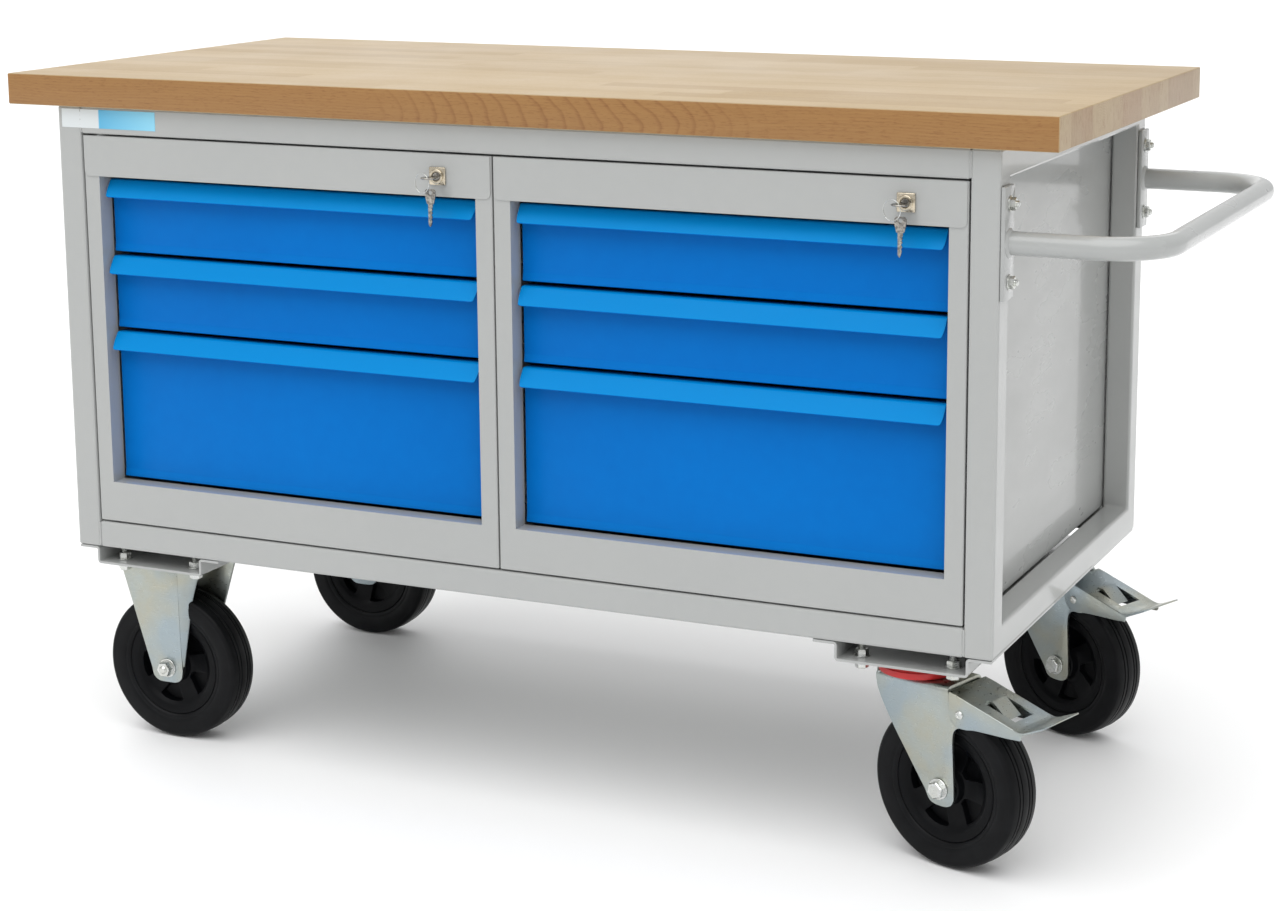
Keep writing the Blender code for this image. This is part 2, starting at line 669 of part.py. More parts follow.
def spare_key(side, mat):
    """Second key, hanging from the ring in the first key's bow."""
    x = lock_x(side)
    y = TOP_Y0 - KEY_PROUD + 0.0125
    top = LOCK_Z - 0.0135
    t = 0.0009
    bow = [(x - 0.0075, top - 0.002), (x - 0.0055, top), (x + 0.0055, top),
           (x + 0.0075, top - 0.002), (x + 0.0055, top - 0.018), (x - 0.0055, top - 0.018)]
    blade = [(x - 0.003, top - 0.017), (x + 0.003, top - 0.017), (x + 0.003, top - 0.040),
             (x + 0.0005, top - 0.046), (x - 0.003, top - 0.043)]
    body = joined(prism(bow, "Y", y - t, y + t), prism(blade, "Y", y - t, y + t))
    hole = moved(rod(0.0022, -0.01, 0.01, 8), (x, y, top - 0.0045))
    part(side + "_spare_key", cut(body, hole), mat, at=(x, y, LOCK_Z))


def cabinet(side, mats):
    cabinet_shell(side, mats["grey"])
    cabinet_fascia(side, mats["grey"])
    for hand in ("left", "right"):
        runner_ladder(side, hand, mats["grey"])
    names = ("top", "middle", "bottom")
    for level, z0, pitch in zip(names, drawer_floors(), DRAWER_PITCHES):
        prefix = side + "_" + level + "_drawer"
        height = pitch - DRAWER_GAP
        drawer_front(prefix + "_front", side, z0, height, mats["blue"])
        drawer_box(prefix + "_box", side, z0, height, mats["grey"])
    lock(side, mats)
    spare_key(side, mats["nickel"])


# ---- the whole bench ---------------------------------------------------------------
def build():
    for obj in list(bpy.data.objects):
        bpy.data.objects.remove(obj, do_unlink=True)
    mats = {
        "beech": material("beech", (0.62, 0.40, 0.20), 0.45),
        "grey": material("light_grey_powder_coat", (0.58, 0.60, 0.58), 0.35),
        "blue": material("blue_powder_coat", (0.0, 0.16, 0.60), 0.35),
        "zinc": material("yellow_zinc_steel", (0.70, 0.70, 0.62), 0.32, 1.0),
        "nickel": material("nickel", (0.62, 0.58, 0.52), 0.25, 1.0),
        "rim": material("black_plastic", (0.012, 0.012, 0.013), 0.45),
        "tyre": material("black_rubber", (0.014, 0.014, 0.015), 0.62),
        "ring": material("red_plastic", (0.55, 0.02, 0.02), 0.4),
    }
    worktop(mats["beech"])
    end_frame("left_end_frame", FRAME_X0, mats["grey"])
    end_frame("right_end_frame", FRAME_X1 - TUBE, mats["grey"])
    rail("front_top_rail", FRAME_Y0, FRAME_Z1 - TUBE, mats["grey"])
    rail("front_bottom_rail", FRAME_Y0, FRAME_Z0, mats["grey"])
    rail("rear_top_rail", FRAME_Y1 - TUBE, FRAME_Z1 - TUBE, mats["grey"])
    rail("rear_bottom_rail", FRAME_Y1 - TUBE, FRAME_Z0, mats["grey"])
    channel("left_caster_channel", CASTER_X["left"], mats["grey"])
    channel("right_caster_channel", CASTER_X["right"], mats["grey"])
    push_handle(mats["grey"])
    for end in ("front", "rear"):
        fixed_caster(end + "_fixed_caster", CASTER_X["left"], CASTER_Y[end], mats)
    turns = {"front": FRONT_SWIVEL_TURN, "rear": REAR_SWIVEL_TURN}
    for end, turn in turns.items():
        prefix = end + "_swivel_caster"
        swivel_caster(prefix, CASTER_X["right"], CASTER_Y[end], turn, mats)
    for side in ("left", "right"):
        cabinet(side, mats)


build()
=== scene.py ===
"""Looks of the mobile workbench: materials, fine pieces, floor, light and camera."""
import json
import math
import random

import bmesh
import bpy
from mathutils import Matrix, Vector


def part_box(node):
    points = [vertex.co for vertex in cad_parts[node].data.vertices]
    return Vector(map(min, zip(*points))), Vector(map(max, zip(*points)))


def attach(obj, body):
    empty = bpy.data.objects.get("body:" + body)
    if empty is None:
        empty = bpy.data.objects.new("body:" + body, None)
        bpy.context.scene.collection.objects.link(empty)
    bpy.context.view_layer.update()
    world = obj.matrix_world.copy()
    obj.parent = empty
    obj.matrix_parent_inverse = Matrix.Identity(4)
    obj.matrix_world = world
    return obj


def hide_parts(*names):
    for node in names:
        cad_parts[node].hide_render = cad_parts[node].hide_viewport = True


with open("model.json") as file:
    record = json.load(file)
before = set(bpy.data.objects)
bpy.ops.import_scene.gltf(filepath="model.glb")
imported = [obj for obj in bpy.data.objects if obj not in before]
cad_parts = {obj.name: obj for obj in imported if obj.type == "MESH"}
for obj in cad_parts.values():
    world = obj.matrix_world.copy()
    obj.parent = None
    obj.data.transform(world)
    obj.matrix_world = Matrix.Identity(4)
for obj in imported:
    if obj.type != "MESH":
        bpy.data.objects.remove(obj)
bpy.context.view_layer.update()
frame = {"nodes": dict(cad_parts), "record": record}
JOINTS = {joint["name"]: joint for joint in frame["record"]["behaviour"]["joints"]}
SIDES = ("left", "right")
ENDS = ("front", "rear")
LEVELS = ("top", "middle", "bottom")


# ---- node helpers
class Mat:
    """A material and short ways to add nodes to it."""

    def __init__(self, name, roughness=0.5, metallic=0.0, **shader):
        self.mat = bpy.data.materials.new(name)
        self.mat.use_nodes = True
        self.tree = self.mat.node_tree
        self.shader = self.tree.nodes["Principled BSDF"]
        self.shader.inputs["Roughness"].default_value = roughness
        self.shader.inputs["Metallic"].default_value = metallic
        for key, value in shader.items():
            self.shader.inputs[key.replace("_", " ")].default_value = value

    def node(self, kind, links=None, **settings):
        made = self.tree.nodes.new(kind)
        for key, value in settings.items():
            setattr(made, key, value)
        for key, value in (links or {}).items():
            self.put(made.inputs[key], value)
        return made

    def put(self, socket, value):
        if isinstance(value, bpy.types.NodeSocket):
            self.tree.links.new(value, socket)
        else:
            socket.default_value = value

    def math(self, operation, a, b=0.0):
        return self.node("ShaderNodeMath", {0: a, 1: b}, operation=operation).outputs[0]

    def add(self, a, b):
        return self.math("ADD", a, b)

    def sub(self, a, b):
        return self.math("SUBTRACT", a, b)

    def mul(self, a, b):
        return self.math("MULTIPLY", a, b)

    def div(self, a, b):
        return self.math("DIVIDE", a, b)

    def place(self):
        return self.node("ShaderNodeTexCoord").outputs["Object"]

    def split(self, vector):
        made = self.node("ShaderNodeSeparateXYZ", {"Vector": vector})
        return made.outputs[0], made.outputs[1], made.outputs[2]

    def vec(self, x, y, z):
        return self.node("ShaderNodeCombineXYZ", {0: x, 1: y, 2: z}).outputs[0]

    def stretch(self, vector, x, y, z):
        made = self.node("ShaderNodeVectorMath", {0: vector, 1: (x, y, z)},
                         operation="MULTIPLY")
        return made.outputs[0]

    def noise(self, vector, scale, detail=2.0, roughness=0.5):
        made = self.node("ShaderNodeTexNoise", {
            "Vector": vector, "Scale": scale, "Detail": detail, "Roughness": roughness})
        return made.outputs[0]

    def ramp(self, fac, stops):
        """Colour ramp with (place, colour or grey value) stops."""
        made = self.node("ShaderNodeValToRGB", {"Fac": fac})
        bar = made.color_ramp.elements
        while len(bar) < len(stops):
            bar.new(0.5)
        for element, (place, colour) in zip(bar, stops):
            element.position = place
            if not isinstance(colour, tuple):
                colour = (colour, colour, colour)
            element.color = (*colour, 1.0)
        return made.outputs[0]

    def mix(self, fac, a, b, blend="MIX"):
        made = self.node("ShaderNodeMix", data_type="RGBA", blend_type=blend)
        self.put(made.inputs[0], fac)
        for socket, value in ((made.inputs[6], a), (made.inputs[7], b)):
            if isinstance(value, tuple):
                value = (*value, 1.0)
            self.put(socket, value)
        return made.outputs[2]

    def bump(self, height, distance, strength):
        made = self.node("ShaderNodeBump", {
            "Height": height, "Distance": distance, "Strength": strength})
        self.put(self.shader.inputs["Normal"], made.outputs[0])

    def colour(self, value):
        self.put(self.shader.inputs["Base Color"], value)

    def rough(self, value):
        self.put(self.shader.inputs["Roughness"], value)


def powder_coat(name, colour, dark, roughness, shine, coat, upface_painted_light=None):
    """Powder paint: faint mottling, orange peel and slightly uneven gloss.

    The last argument, when given, is a lighter tone mixed onto faces that tilt upwards, such as a
    pull lip: painted light from above.
    """
    m = Mat(name, Coat_Weight=coat, Coat_Roughness=0.07, Specular_IOR_Level=shine)
    p = m.place()
    cloud = m.noise(p, 2.6, 3.0)
    mottle = m.noise(p, 60.0, 2.0)
    tone = m.add(m.mul(cloud, 0.75), m.mul(mottle, 0.25))
    paint = m.mix(m.ramp(tone, [(0.35, 0.0), (0.65, 1.0)]), dark, colour)
    if upface_painted_light is not None:
        # Painted light from above: faces that tilt upwards are mixed towards the lighter tone.
        up = m.split(m.node("ShaderNodeNewGeometry").outputs["Normal"])[2]
        paint = m.mix(m.ramp(up, [(0.15, 0.0), (0.55, 1.0)]), paint, upface_painted_light)
    m.colour(paint)
    smear = m.noise(m.stretch(p, 3.0, 3.0, 9.0), 2.2, 4.0)
    m.rough(m.ramp(smear, [(0.3, roughness - 0.05), (0.7, roughness + 0.08)]))
    peel = m.noise(p, 260.0, 2.0)
    m.bump(peel, 0.00008, 0.3)
    return m.mat


def metal(name, colour, tint, roughness, spangle, cool=None):
    """Plated steel: patches of a second tint, some of a cool third one, and fine scratches."""
    m = Mat(name, metallic=1.0)
    p = m.place()
    patch = m.noise(p, spangle, 3.0, 0.6)
    base = m.mix(m.ramp(patch, [(0.38, 0.0), (0.62, 1.0)]), colour, tint)
    if cool is not None:
        other = m.noise(p, spangle * 0.45, 2.0)
        base = m.mix(m.ramp(other, [(0.48, 0.0), (0.62, 0.75)]), base, cool)
    m.colour(base)
    fine = m.noise(m.stretch(p, 1.0, 1.0, 6.0), 160.0, 3.0)
    m.rough(m.ramp(fine, [(0.3, roughness - 0.07), (0.7, roughness + 0.12)]))
    m.bump(m.noise(p, 240.0, 3.0), 0.00012, 0.5)
    return m.mat


def rubber(name):
    """Black rubber with a little dust."""
    m = Mat(name, Specular_IOR_Level=0.14)
    p = m.place()
    dust = m.noise(p, 38.0, 4.0, 0.6)
    m.colour(m.ramp(dust, [(0.35, (0.0022, 0.0024, 0.003)), (0.75, (0.006, 0.0064, 0.0074))]))
    m.rough(m.ramp(m.noise(p, 14.0, 3.0), [(0.3, 0.34), (0.7, 0.52)]))
    m.bump(m.noise(p, 620.0, 3.0), 0.00015, 0.6)
    return m.mat


def plastic(name, dark, light, roughness, shine=0.45):
    """Moulded plastic between two close tones."""
    m = Mat(name, Specular_IOR_Level=shine)
    p = m.place()
    m.colour(m.mix(m.noise(p, 30.0, 3.0), dark, light))
    m.rough(m.ramp(m.noise(p, 60.0, 2.0), [(0.3, roughness - 0.06), (0.7, roughness + 0.1)]))
    m.bump(m.noise(p, 800.0, 2.0), 0.00008, 0.5)
    return m.mat


STAVE = 0.0433          # width of a stave
BLOCK = 0.58            # length of a block in a stave
STAVE_SHIFT = 10.315    # takes y to a positive count of staves
EDGE_MIDDLE = 0.856     # height at which the rings of the long edge bow out most
RING_PITCH = 0.024      # distance between the bowed rings


def bowed_rings(m, p, x, z, straight):
    """Middle of the long edge, where growth rings cross the edge as tall bowed lines."""
    height = m.div(m.sub(z, EDGE_MIDDLE), 0.034)
    bow = m.mul(m.sub(1.0, m.mul(height, height)), 0.022)
    drift = m.noise(m.stretch(p, 9.0, 9.0, 22.0), 1.0, 2.0)
    place = m.add(m.sub(x, bow), m.mul(drift, 0.035))
    ring = m.math("FRACT", m.div(m.add(place, 5.0), RING_PITCH))
    line = m.ramp(ring, [(0.0, 0.15), (0.1, 0.0), (0.7, 0.1), (0.93, 1.0), (1.0, 0.2)])
    inside = m.ramp(m.add(x, 0.3), [(0.06, 0.0), (0.16, 1.0), (0.5, 1.0), (0.62, 0.0)])
    outside = m.sub(1.0, inside)
    return m.add(m.mul(line, inside), m.mul(m.mul(straight, outside), 0.45))


def ring_lines(m, p, y, z, pith_y, pith_z):
    """Thin growth rings round a pith that runs along X."""
    off_y, off_z = m.sub(y, pith_y), m.sub(z, pith_z)
    radius = m.math("SQRT", m.add(m.mul(off_y, off_y), m.mul(off_z, off_z)))
    unsteady = m.noise(m.stretch(p, 14.0, 90.0, 90.0), 1.0, 3.0)
    rings = m.math("FRACT", m.add(m.mul(radius, 330.0), m.mul(unsteady, 0.55)))
    return m.ramp(rings, [(0.0, 0.55), (0.12, 0.0), (0.55, 0.05), (0.9, 0.75), (1.0, 0.6)])


def beech(name, palette, line_strength, fleck, cut="top"):
    """Glued beech: staves along X cut into blocks, growth rings and flecks.

    The palette holds four tones of wood and the tint of its dark lines. The cut is "top",
    "long edge" or "end grain". The long edge is one stave, with bowed rings in its middle.
    """
    m = Mat(name, Coat_Weight=0.1, Coat_Roughness=0.3)
    p = m.place()
    x, y, z = m.split(p)
    long_edge = cut == "long edge"
    staves = m.div(m.add(y, STAVE_SHIFT), STAVE)
    row = m.math("FLOOR", staves)
    block = 3.0
    if not long_edge:
        shift = m.node("ShaderNodeTexWhiteNoise", {"W": row}, noise_dimensions="1D").outputs[0]
        along = m.add(x, m.mul(shift, 3.1))
        block = m.math("FLOOR", m.div(m.add(along, 20.0), BLOCK))
    dice = m.node("ShaderNodeTexWhiteNoise", {"Vector": m.vec(row, block, 1.7)},
                  noise_dimensions="3D")
    dx, dy, dz = m.split(dice.outputs["Color"])
    way = m.vec(m.add(m.mul(x, 1.6), m.mul(dz, 40.0)), m.mul(row, 3.3), 0.0)
    wander = m.mul(m.sub(m.noise(way, 1.0, 2.0), 0.5), 0.05)
    if long_edge:
        late = ring_lines(m, p, y, z, -0.262, m.add(0.79, wander))
        late = bowed_rings(m, p, x, z, late)
    else:
        middle = m.sub(m.mul(m.add(row, 0.5), STAVE), STAVE_SHIFT)
        pith_y = m.add(m.add(middle, m.mul(m.sub(dx, 0.5), 0.16)), wander)
        late = ring_lines(m, p, y, z, pith_y, m.add(0.83, m.mul(dy, 0.07)))
    if cut == "end grain":
        fibre = m.noise(m.stretch(p, 1.0, 420.0, 160.0), 1.0, 2.0)
        flecks = m.noise(m.stretch(p, 1.0, 230.0, 75.0), 1.0, 3.0, 0.7)
    else:
        fibre = m.noise(m.stretch(p, 9.0, 520.0, 520.0), 1.0, 3.0, 0.6)
        flecks = m.noise(m.stretch(p, 130.0, 900.0, 900.0), 1.0, 2.0)
    broad = m.noise(m.stretch(p, 2.2, 26.0, 26.0), 1.0, 2.0)
    pick = m.add(m.mul(dz, 0.72), m.mul(broad, 0.3))
    base = m.ramp(pick, list(zip((0.0, 0.35, 0.65, 1.0), palette)))
    dark = m.mix(1.0, base, palette[4], "MULTIPLY")
    grain = m.ramp(fibre, [(0.3, 1.0), (0.62, 0.0)])
    spots = m.ramp(flecks, [(0.54, 0.0), (0.7, 1.0)])
    line = m.add(m.mul(late, line_strength), m.mul(grain, 0.26))
    line = m.add(line, m.mul(spots, fleck))
    toned = m.mix(m.math("MINIMUM", line, 1.0), base, dark)
    if not long_edge:
        edge = m.math("ABSOLUTE", m.sub(m.math("FRACT", staves), 0.5))
        seam = m.ramp(edge, [(0.488, 0.0), (0.497, 1.0)])
        toned = m.mix(m.mul(seam, 0.35), toned, dark)
    m.colour(toned)
    m.rough(m.ramp(m.noise(p, 7.0, 3.0), [(0.3, 0.42), (0.7, 0.55)]))
    m.bump(m.add(m.mul(fibre, 0.7), late), 0.00018, 0.35)
    return m.mat


LABEL_X = (-0.6855, -0.5415)    # ends of the nameplate


def plain_label(name):
    """Generic nameplate: pale film with a light blue field and no lettering."""
    m = Mat(name, roughness=0.35)
    p = m.place()
    x = m.split(p)[0]
    lo, hi = LABEL_X
    f = m.div(m.sub(x, lo), hi - lo)
    blue = m.ramp(f, [(0.0, 0.0), (0.395, 0.0), (0.405, 1.0), (1.0, 1.0)])
    shade = m.mix(m.ramp(f, [(0.4, 0.0), (1.0, 1.0)]), (0.1, 0.42, 0.66), (0.26, 0.62, 0.8))
    m.colour(m.mix(blue, (0.66, 0.7, 0.71), shade))
    m.rough(m.ramp(m.noise(p, 40.0), [(0.3, 0.28), (0.7, 0.4)]))
    return m.mat


TOP_PALETTE = ((0.366, 0.251, 0.118), (0.41, 0.296, 0.149), (0.439, 0.324, 0.174),
               (0.47, 0.356, 0.205), (0.67, 0.55, 0.4))
EDGE_PALETTE = ((0.3, 0.15, 0.041), (0.335, 0.17, 0.048), (0.365, 0.19, 0.056),
                (0.395, 0.213, 0.066), (0.66, 0.51, 0.38))
END_PALETTE = ((0.36, 0.27, 0.155), (0.4, 0.285, 0.18), (0.44, 0.345, 0.215),
               (0.47, 0.37, 0.245), (0.66, 0.52, 0.45))

GREY = powder_coat("light_grey_coat", (0.392, 0.4, 0.391), (0.373, 0.381, 0.374), 0.34, 0.3, 0.7)
# Darker copy of the frame grey for the cabinet shells: painted shade on their side walls.
SHADED_SHEET_GREY = powder_coat("cabinet_sheet_coat_painted_shade", (0.357, 0.365, 0.355), (0.341, 0.348, 0.34), 0.28,
                         0.3, 0.35)
# Slightly darker copy of the frame grey for the push handle: painted shade.
SHADED_TUBE_GREY = powder_coat("handle_coat_painted_shade", (0.382, 0.391, 0.384), (0.365, 0.374, 0.368), 0.27,
                        0.3, 0.6)
# Blue paint; its third tone makes the pull lips and other upward faces lighter, which is painted
# light from above.
BLUE = powder_coat("blue_coat_painted_upface_light", (0.0, 0.155, 0.53), (0.0, 0.138, 0.49), 0.34, 0.07, 0.0,
                   (0.0, 0.225, 0.58))
ZINC = metal("zinc_plate", (0.405, 0.435, 0.41), (0.42, 0.42, 0.355), 0.32, 24.0,
             (0.33, 0.4, 0.445))
BOLT = metal("bolt_zinc", (0.66, 0.67, 0.66), (0.6, 0.61, 0.57), 0.27, 90.0)
NICKEL = metal("nickel_plate", (0.62, 0.55, 0.43), (0.46, 0.41, 0.32), 0.22, 130.0)
KEY = metal("key_nickel", (0.42, 0.4, 0.36), (0.16, 0.155, 0.15), 0.24, 260.0)
RUBBER = rubber("black_rubber")
RIM = plastic("black_rim_plastic", (0.002, 0.0022, 0.0028), (0.0045, 0.0048, 0.0056), 0.36, 0.1)
ROLLER = plastic("roller_plastic", (0.3, 0.3, 0.29), (0.38, 0.38, 0.36), 0.45)
RED = plastic("red_seal_plastic", (0.42, 0.01, 0.012), (0.55, 0.022, 0.022), 0.34)
WOOD_TOP = beech("beech_top", TOP_PALETTE, 0.3, 0.4)
WOOD_EDGE = beech("beech_long_edge", EDGE_PALETTE, 0.55, 0.45, "long edge")
WOOD_END = beech("beech_end_grain", END_PALETTE, 0.55, 0.55, "end grain")
LABEL = plain_label("plain_nameplate")


# ---- mesh helpers
def to_object(name, bm):
    bmesh.ops.recalc_face_normals(bm, faces=bm.faces)
    mesh = bpy.data.meshes.new(name)
    bm.to_mesh(mesh)
    bm.free()
    obj = bpy.data.objects.new(name, mesh)
    bpy.context.scene.collection.objects.link(obj)
    return obj


def block(lo, hi, radius=0.0, segments=2):
    """Box between two corners, with rounded edges."""
    bm = bmesh.new()
    bmesh.ops.create_cube(bm, size=1.0)
    lo, hi = Vector(lo), Vector(hi)
    bmesh.ops.scale(bm, vec=hi - lo, verts=bm.verts)
    bmesh.ops.translate(bm, vec=(hi + lo) / 2, verts=bm.verts)
    if radius:
        bmesh.ops.bevel(bm, geom=bm.edges[:], offset=radius, segments=segments,
                        profile=0.5, affect="EDGES")
    return bm


def prism(outline, axis, start, end):
    """Outline run along an axis. Its points are (x, y), (x, z) or, along X, (y, z)."""
    order = {"X": (2, 0, 1), "Y": (0, 2, 1), "Z": (0, 1, 2)}[axis]
    bm = bmesh.new()
    rows = []
    for level in (start, end):
        points = [(a, b, level) for a, b in outline]
        rows.append([bm.verts.new([point[i] for i in order]) for point in points])
    return bridged(bm, rows)


def bridged(bm, rings):
    """Join rings of vertices into a closed tube with flat ends."""
    count = len(rings[0])
    for here, there in zip(rings, rings[1:]):
        for i in range(count):
            j = (i + 1) % count
            bm.faces.new((here[i], here[j], there[j], there[i]))
    bm.faces.new(rings[0])
    bm.faces.new(rings[-1])
    return bm


def lathe(profile, segments, axis, closed=True):
    """Spin a (radius, height) outline about Y or Z, through the origin."""
    bm = bmesh.new()
    rings = []
    for step in range(segments):
        angle = 2 * math.pi * step / segments
        ring = []
        for radius, height in profile:
            u, v = radius * math.cos(angle), radius * math.sin(angle)
            ring.append(bm.verts.new((u, height, v) if axis == "Y" else (u, v, height)))
        rings.append(ring)
    last = len(profile) if closed else len(profile) - 1
    for step in range(segments):
        here, there = rings[step], rings[(step + 1) % segments]
        for i in range(last):
            j = (i + 1) % len(profile)
            bm.faces.new((here[i], here[j], there[j], there[i]))
    if not closed:
        bmesh.ops.remove_doubles(bm, verts=bm.verts, dist=1e-6)
    return bm


def sweep(path, radii, segments):
    """Round rod along a path, with one radius or one for each point."""
    bm = bmesh.new()
    rings = []
    normal = None
    if isinstance(radii, float):
        radii = [radii] * len(path)
    for i, point in enumerate(path):
        before, after = Vector(path[max(i - 1, 0)]), Vector(path[min(i + 1, len(path) - 1)])
        along = (after - before).normalized()
        if normal is None:
            normal = along.orthogonal().normalized()
        normal = (normal - along * normal.dot(along)).normalized()
        side = along.cross(normal)
        ring = []
        for step in range(segments):
            angle = 2 * math.pi * step / segments
            out = normal * math.cos(angle) + side * math.sin(angle)
            ring.append(bm.verts.new(Vector(point) + out * radii[i]))
        rings.append(ring)
    return bridged(bm, rings)


def arc(centre, radius, start, end, steps):
    """Points on an arc between two angles in degrees."""
    points = []
    for i in range(steps + 1):
        angle = math.radians(start + (end - start) * i / steps)
        points.append((centre[0] + radius * math.cos(angle),
                       centre[1] + radius * math.sin(angle)))
    return points


def merge(bm, other):
    """Add the geometry of another bmesh to this one."""
    mesh = bpy.data.meshes.new("temp")
    other.to_mesh(mesh)
    other.free()
    bm.from_mesh(mesh)
    bpy.data.meshes.remove(mesh)
    return bm


def placed(bm, matrix):
    bm.transform(matrix)
    return bm


def shifted(bm, x, y, z):
    return placed(bm, Matrix.Translation((x, y, z)))


def rod(radius, half, segments, axis):
    """Plain cylinder along an axis, centred on the origin."""
    outline = [(0.0, -half), (radius, -half), (radius, half), (0.0, half)]
    return lathe(outline, segments, axis, closed=False)


def gathered(*objects):
    """One bmesh with the geometry of some objects, which are removed."""
    bm = bmesh.new()
    for obj in objects:
        bm.from_mesh(obj.data)
        bpy.data.objects.remove(obj, do_unlink=True)
    return bm


def apply_modifiers(obj):
    """Keep what an object's modifiers make of its mesh."""
    graph = bpy.context.evaluated_depsgraph_get()
    mesh = bpy.data.meshes.new_from_object(obj.evaluated_get(graph))
    obj.modifiers.clear()
    obj.data = mesh
    return obj


def boolean(base, tool_bm, operation):
    """Cut an object with a shape, or keep what both share."""
    tool = to_object("tool", tool_bm)
    step = base.modifiers.new("combine", "BOOLEAN")
    step.operation = operation
    step.solver = "EXACT"
    step.object = tool
    apply_modifiers(base)
    bpy.data.objects.remove(tool, do_unlink=True)


def soften(obj, width, segments=2, angle=40):
    """Round an object's edges that are sharper than an angle in degrees."""
    step = obj.modifiers.new("soften", "BEVEL")
    step.width = width
    step.segments = segments
    step.limit_method = "ANGLE"
    step.angle_limit = math.radians(angle)
    return apply_modifiers(obj)


def own(obj, name, material, body, replaces=(), sharp=35):
    """Name a piece, give it its material and let it ride on its body."""
    obj.name = name
    obj.data.name = name
    obj.data.materials.clear()
    for mat in (material if isinstance(material, tuple) else (material,)):
        obj.data.materials.append(mat)
    obj.data.shade_smooth()
    obj.data.set_sharp_from_angle(angle=math.radians(sharp))
    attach(obj, body)
    if replaces:
        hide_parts(*replaces)
    return obj


def piece(name, bm, material, body, replaces=(), sharp=35):
    return own(to_object(name, bm), name, material, body, replaces, sharp)


def own_cad(node, material):
    """Give a CAD node a material in its own slots."""
    for slot in frame["nodes"][node].material_slots:
        slot.material = material


def corners(node):
    """Lowest and highest corner of a CAD node."""
    lo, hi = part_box(node)
    return Vector(lo), Vector(hi)


# ---- fasteners
def hex_head(across, height, washer=0.0):
    """Hexagon head or nut from z 0 up, chamfered on top, on a washer."""
    r = across / 2 / math.cos(math.pi / 6)
    top = washer + height
    bm = bmesh.new()
    rings = []
    for radius, z in ((r, washer), (r, washer + height * 0.8), (r * 0.9, top), (r * 0.55, top)):
        points = arc((0, 0), radius, 0, 300, 5)
        rings.append([bm.verts.new((x, y, z)) for x, y in points])
    bridged(bm, rings)
    if washer:
        ring = [(0.0, 0.0), (r * 1.16, 0.0), (r * 1.2, washer * 0.3), (r * 1.2, washer * 0.7),
                (r * 1.16, washer), (0.0, washer)]
        merge(bm, lathe(ring, 32, "Z", closed=False))
    return bm


def thread(radius, length):
    """Bolt end with ridges, from z 0 up, domed at its tip."""
    pitch = 0.0015
    profile = [(0.0, 0.0)]
    turns = max(2, int(length / pitch))
    for i in range(turns):
        profile.append((radius * 0.9, i * length / turns))
        profile.append((radius, (i + 0.5) * length / turns))
    profile += [(radius * 0.9, length), (radius * 0.6, length + radius * 0.25),
                (0.0, length + radius * 0.35)]
    return lathe(profile, 20, "Z", closed=False)


def facing(x, y, z, direction, roll=0.0):
    """Matrix that takes local +Z to a direction at a point."""
    turn = Vector(direction).to_track_quat("Z", "Y").to_matrix().to_4x4()
    return Matrix.Translation((x, y, z)) @ turn @ Matrix.Rotation(roll, 4, "Z")


# ---- worktop
def worktop():
    """Slab with rounded edges, and a wood of its own for the top, the long edges and the ends."""
    lo, hi = corners("worktop")
    obj = to_object("worktop_beech", block(lo, hi, 0.0018, 3))
    own(obj, "worktop_beech", (WOOD_TOP, WOOD_EDGE, WOOD_END), "bench", ("worktop",))
    upright = 0.72
    for face in obj.data.polygons:
        if abs(face.normal.x) > upright:
            face.material_index = 2
        elif abs(face.normal.y) > upright:
            face.material_index = 1


# ---- frame details
def weld_bead(name, start, end, radius, seed):
    """Low bead of weld metal between two points, painted over."""
    dice = random.Random(seed)
    start, end = Vector(start), Vector(end)
    count = max(6, int((end - start).length / 0.0016))
    path = [start.lerp(end, i / count) for i in range(count + 1)]
    sizes = [radius * (0.75 + 0.5 * dice.random()) for _ in path]
    sizes[0] = sizes[-1] = radius * 0.4
    piece(name, sweep(path, sizes, 10), GREY, "bench", sharp=80)


def frame_welds():
    """Where rails meet posts: one bead up the face and one inside the corner."""
    lo, hi = corners("left_end_frame")
    tube = hi.x - lo.x
    sink, gap = 0.001, 0.0002
    posts = (("left", hi.x, 1), ("right", corners("right_end_frame")[0].x, -1))
    levels = (("top", hi.z - tube, hi.z, hi.z - tube - gap),
              ("bottom", lo.z, lo.z + tube, lo.z + tube + gap))
    faces = (("front", lo.y + sink, 1), ("rear", hi.y - sink, -1))
    for i, (side, x, inward) in enumerate(posts):
        for j, (level, z0, z1, corner_z) in enumerate(levels):
            for k, (end, y, deeper) in enumerate(faces):
                tag = "_".join(("weld", end, level, side))
                seed = i * 9 + j * 3 + k
                weld_bead(tag, (x, y, z0 + 0.0015), (x, y, z1 - 0.0015), 0.0014, seed)
                corner_x = x + inward * 0.0003
                weld_bead(tag + "_fillet", (corner_x, y + deeper * 0.007, corner_z),
                          (corner_x, y + deeper * 0.026, corner_z), 0.0017, 50 + seed)


CHANNEL_WEB = 0.163     # width of the channel's web
CHANNEL_SHEET = 0.003   # thickness of its sheet


def caster_channels():
    """Hat channels with bent corners, in place of the plain ones."""
    for side in SIDES:
        node = side + "_caster_channel"
        lo, hi = corners(node)
        middle = (lo.x + hi.x) / 2
        wall = middle + CHANNEL_WEB / 2
        t, outer, inner = CHANNEL_SHEET, 0.0045, 0.0015
        right = [(hi.x, hi.z)] + arc((wall - t + outer, hi.z - outer), outer, 90, 180, 4)
        right += arc((wall - t - inner, lo.z + t + inner), inner, 0, -90, 3)
        low = arc((wall - outer, lo.z + outer), outer, 270, 360, 4)
        low += arc((wall + inner, hi.z - t - inner), inner, 180, 90, 3) + [(hi.x, hi.z - t)]
        left = [(2 * middle - px, pz) for px, pz in reversed(low + right)]
        outline = right + left + low
        piece(side + "_channel_bent", prism(outline, "Y", lo.y, hi.y), GREY, "bench",
              (node,), 30)


